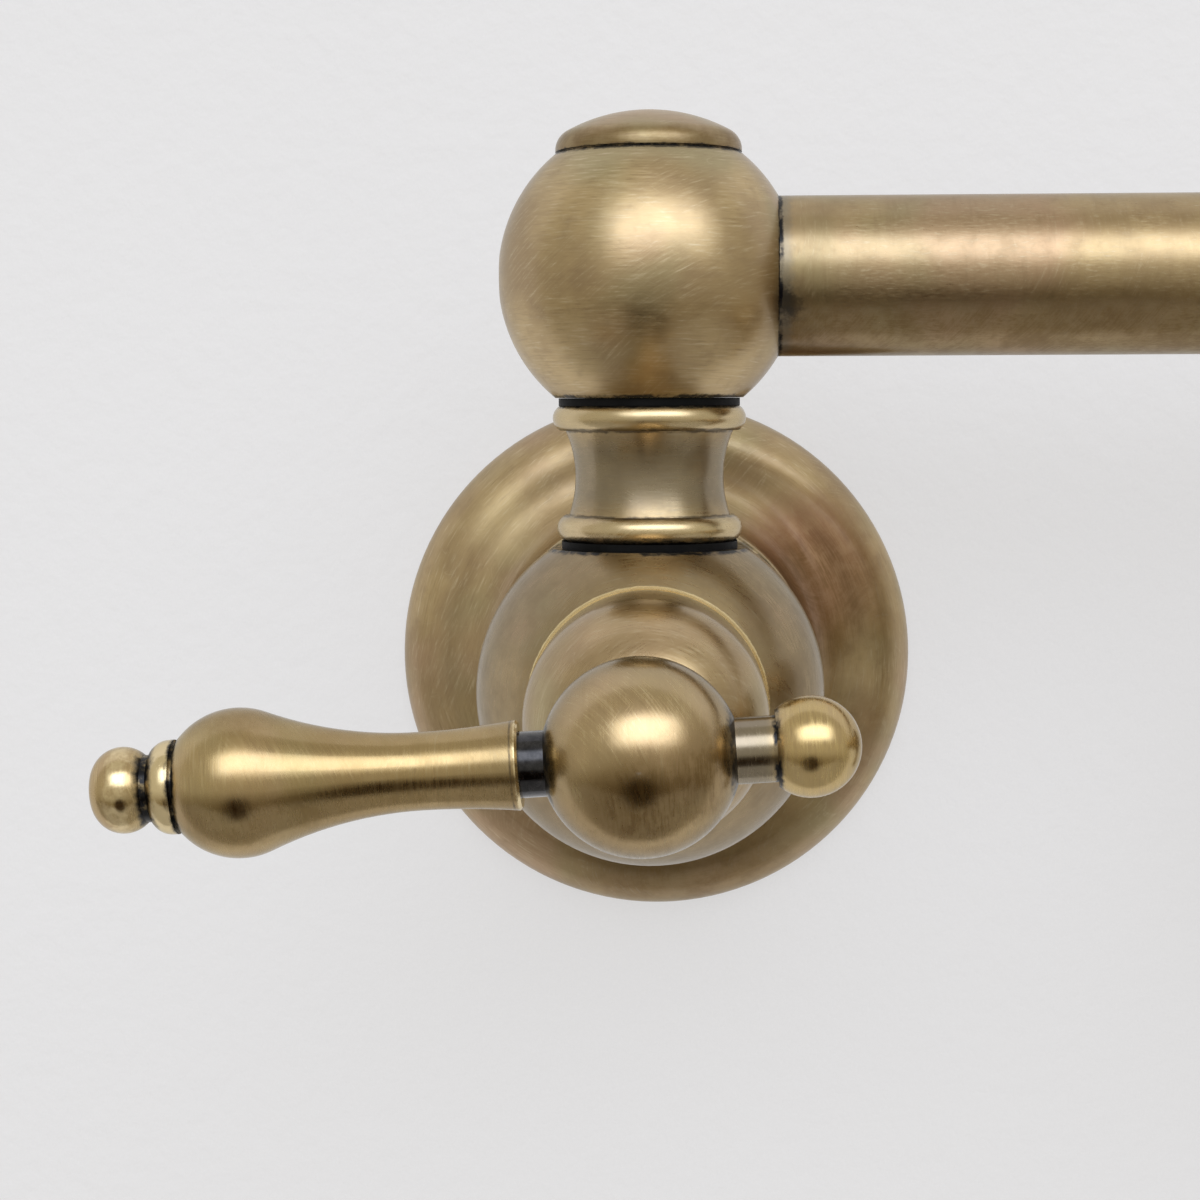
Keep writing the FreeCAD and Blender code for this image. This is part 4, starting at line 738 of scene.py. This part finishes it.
dress_plain_pieces()
dress_elbow("wall", 10.0)
dress_elbow("mid", 20.0)
dress_valve("wall", -1.0, 30.0)
dress_valve("outlet", 1.0, 40.0)
dress_escutcheon(50.0)
dress_body("valve_body", "wall_bonnet", 51.0, UPWARD)
dress_body("outlet_body", "outlet_bonnet", 52.0, DOWNWARD)
dress_arm("arm_tube_1", 53.0)
dress_arm("arm_tube_2", 54.0)
dress_lower_ball(56.0)
dress_spout(58.0)


# The stage: a pale wall that the plate is screwed to, and a pale floor below.
WALL_COLOUR = (0.82, 0.81, 0.825)
WALL_SHOWN = (0.85, 0.845, 0.855)
WALL_GLOW = 0.68  # how far the wall shows as plain paint, whatever light reaches it
WALL_RELIEF = 0.8  # millimetres
WALL_PLACE = 0.0002  # metres behind the plate's rim
FLOOR_COLOUR = (0.50, 0.48, 0.45)
FLOOR_RELIEF = 0.05
FLOOR_LEVEL = -0.62
FLOOR_DEPTH = 0.9
STAGE_HALF = 1.5


def one_sided(name, paint, relief, shown=None):
    """Matt paint with a fine orange-peel texture, seen from its front only. shown is the colour that it is
    evened out to where the camera or a reflection sees it."""
    material, nodes, shader = new_material(name)
    place = nodes.object_millimetres()
    peel = nodes.noise(place, scale=0.28, detail=3.0, rough=0.55)
    cloud = nodes.noise(place, scale=0.01, detail=2.0)
    nodes.feed(shader.inputs["Base Color"], nodes.blend(
        nodes.ramp(cloud, 0.3, 0.7), paint, tuple(0.97 * part for part in paint)))
    shader.inputs["Roughness"].default_value = 0.85
    nodes.feed(shader.inputs["Normal"], nodes.bump(peel, 0.6, relief))
    front = shader.outputs[0]
    if shown:
        rays = nodes.add("ShaderNodeLightPath").outputs
        seen = nodes.math("MAXIMUM", rays["Is Camera Ray"], nodes.math(
            "MAXIMUM", rays["Is Glossy Ray"], rays["Is Transmission Ray"]))
        glow = nodes.add("ShaderNodeEmission")
        glow.inputs["Color"].default_value = colour(shown)
        front = mix_shaders(nodes, nodes.math("MULTIPLY", seen, WALL_GLOW), front, glow.outputs[0])
    behind = nodes.add("ShaderNodeNewGeometry").outputs["Backfacing"]
    clear = nodes.add("ShaderNodeBsdfTransparent").outputs[0]
    output = next(node for node in material.node_tree.nodes if node.type == "OUTPUT_MATERIAL")
    nodes.feed(output.inputs["Surface"], mix_shaders(nodes, behind, front, clear))
    return material


def mix_shaders(nodes, factor, first, second):
    mix = nodes.add("ShaderNodeMixShader")
    for socket, value in zip(mix.inputs, (factor, first, second)):
        nodes.feed(socket, value)
    return mix.outputs[0]


def stage_plane(name, corners, material):
    """One flat face of the stage, whose front is where its corners run anticlockwise."""
    mesh = bpy.data.meshes.new(name)
    mesh.from_pydata(corners, [], [(0, 1, 2, 3)])
    mesh.materials.append(material)
    plane = bpy.data.objects.new(name, mesh)
    bpy.context.scene.collection.objects.link(plane)
    return plane


def build_stage():
    left, right, top = -STAGE_HALF, STAGE_HALF, STAGE_HALF
    wall = stage_plane("studio_wall", [(left, WALL_PLACE, FLOOR_LEVEL), (right, WALL_PLACE, FLOOR_LEVEL),
                                       (right, WALL_PLACE, top), (left, WALL_PLACE, top)],
                       one_sided("wall_paint", WALL_COLOUR, WALL_RELIEF, WALL_SHOWN))
    wall.visible_shadow = False
    stage_plane("studio_floor", [(left, -FLOOR_DEPTH, FLOOR_LEVEL), (right, -FLOOR_DEPTH, FLOOR_LEVEL),
                                 (right, WALL_PLACE, FLOOR_LEVEL), (left, WALL_PLACE, FLOOR_LEVEL)],
                one_sided("floor_paint", FLOOR_COLOUR, FLOOR_RELIEF))


# The light: one broad soft lamp above in front, a weak one behind, and a dim room.
SOFT_EDGE = 0.32  # share of a lamp's width over which it fades at each side
ROOM_ABOVE = (0.56, 0.535, 0.46)
ROOM_BELOW = (0.21, 0.17, 0.10)
ROOM_DARKEST = -0.55  # how far down the room's light fades, as the height of a direction of length 1
FLAG_PLACE = Vector((0.0, -0.58, -0.30))
FLAG_RADIUS = 0.25
FLAG_COLOUR = (0.04, 0.018, 0.003)


def softbox(name, place, target, size, watts, tint):
    """A soft rectangular lamp that points at the object and fades towards its edges."""
    lamp = bpy.data.lights.new(name, "AREA")
    lamp.color = tint
    lamp.shape = "RECTANGLE"
    lamp.size, lamp.size_y = size
    lamp.energy = watts
    lamp.use_nodes = True
    nodes = Nodes(lamp.node_tree)
    across, along, _ = nodes.split(nodes.add("ShaderNodeNewGeometry").outputs["Parametric"])
    fades = [nodes.ramp(nodes.math("MINIMUM", share, nodes.math("SUBTRACT", 1.0, share)), 0.0, SOFT_EDGE)
             for share in (across, along)]
    emission = next(node for node in lamp.node_tree.nodes if node.type == "EMISSION")
    nodes.feed(emission.inputs["Strength"], nodes.math("MULTIPLY", *fades))
    holder = bpy.data.objects.new(name, lamp)
    bpy.context.scene.collection.objects.link(holder)
    holder.location = place
    holder.rotation_euler = (Vector(target) - Vector(place)).to_track_quat("-Z", "Y").to_euler()


def studio_world():
    """A soft room: pale grey from eye level up, and warm and dim below."""
    world = bpy.data.worlds.new("studio_world")
    bpy.context.scene.world = world
    world.use_nodes = True
    world.node_tree.nodes.clear()
    nodes = Nodes(world.node_tree)
    height = nodes.split(nodes.add("ShaderNodeTexCoord").outputs["Generated"])[2]
    background = nodes.add("ShaderNodeBackground")
    nodes.feed(background.inputs["Color"],
               nodes.blend(nodes.ramp(height, ROOM_DARKEST, 0.0), ROOM_BELOW, ROOM_ABOVE))
    output = nodes.add("ShaderNodeOutputWorld")
    nodes.feed(output.inputs["Surface"], background.outputs[0])


def dark_flag():
    """A dark card with soft edges, low in front, as a photographer hangs one: only reflections show it."""
    material, nodes, shader = new_material("dark_card")
    shader.inputs["Base Color"].default_value = colour(FLAG_COLOUR)
    shader.inputs["Roughness"].default_value = 1.0
    shader.inputs["Specular IOR Level"].default_value = 0.0
    away = nodes.vector("DISTANCE", nodes.object_place(), tuple(FLAG_PLACE))
    nodes.feed(shader.inputs["Alpha"], nodes.ramp(away, FLAG_RADIUS, FLAG_RADIUS * 0.5))
    facing = (Vector(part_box("wall_bonnet")[1]) - FLAG_PLACE).normalized()
    across = facing.cross(Vector(UPWARD)).normalized() * FLAG_RADIUS
    upward = across.cross(facing).normalized() * FLAG_RADIUS
    corners = [FLAG_PLACE + side * across + rise * upward
               for side, rise in ((1.0, -1.0), (-1.0, -1.0), (-1.0, 1.0), (1.0, 1.0))]
    card = stage_plane("dark_flag", corners, material)
    card.visible_camera = False
    card.visible_diffuse = False
    card.visible_shadow = False


# The camera, worked out from the photograph's vanishing point and the plate's outline.
FRAME_PIXELS = 1200.0
FOCAL_PIXELS = 2400.0
SENSOR = 36.0  # millimetres
FORWARD_PIXEL = (691.3, 404.5)  # where the wall's own direction, +Y, vanishes in the photograph
CAMERA_PLACE = (0.00513, -0.34593, 0.03571)
CAMERA_ROLL = math.radians(-0.255)


def add_camera():
    data = bpy.data.cameras.new("camera")
    data.sensor_width = SENSOR
    data.lens = FOCAL_PIXELS / FRAME_PIXELS * SENSOR
    data.clip_start = 0.01
    camera = bpy.data.objects.new("camera", data)
    bpy.context.scene.collection.objects.link(camera)
    camera.location = CAMERA_PLACE
    right = FORWARD_PIXEL[0] - FRAME_PIXELS / 2
    up = FRAME_PIXELS / 2 - FORWARD_PIXEL[1]
    aim = Vector((-right, FOCAL_PIXELS, -up))
    camera.rotation_mode = "QUATERNION"
    camera.rotation_quaternion = aim.to_track_quat("-Z", "Y") @ Quaternion((0.0, 0.0, 1.0), CAMERA_ROLL)
    bpy.context.scene.camera = camera


build_stage()
softbox("key_light", place=(0.21, -1.26, 0.98), target=(0.0, -0.05, 0.03), size=(3.1, 1.35), watts=33.0,
        tint=(0.92, 0.99, 1.12))
softbox("rear_light", place=(0.2, 1.2, 0.6), target=(0.1, 0.0, 0.0), size=(1.6, 1.0), watts=3.0,
        tint=(1.0, 1.0, 1.0))
studio_world()
dark_flag()
add_camera()
bpy.context.scene.view_settings.view_transform = "Standard"
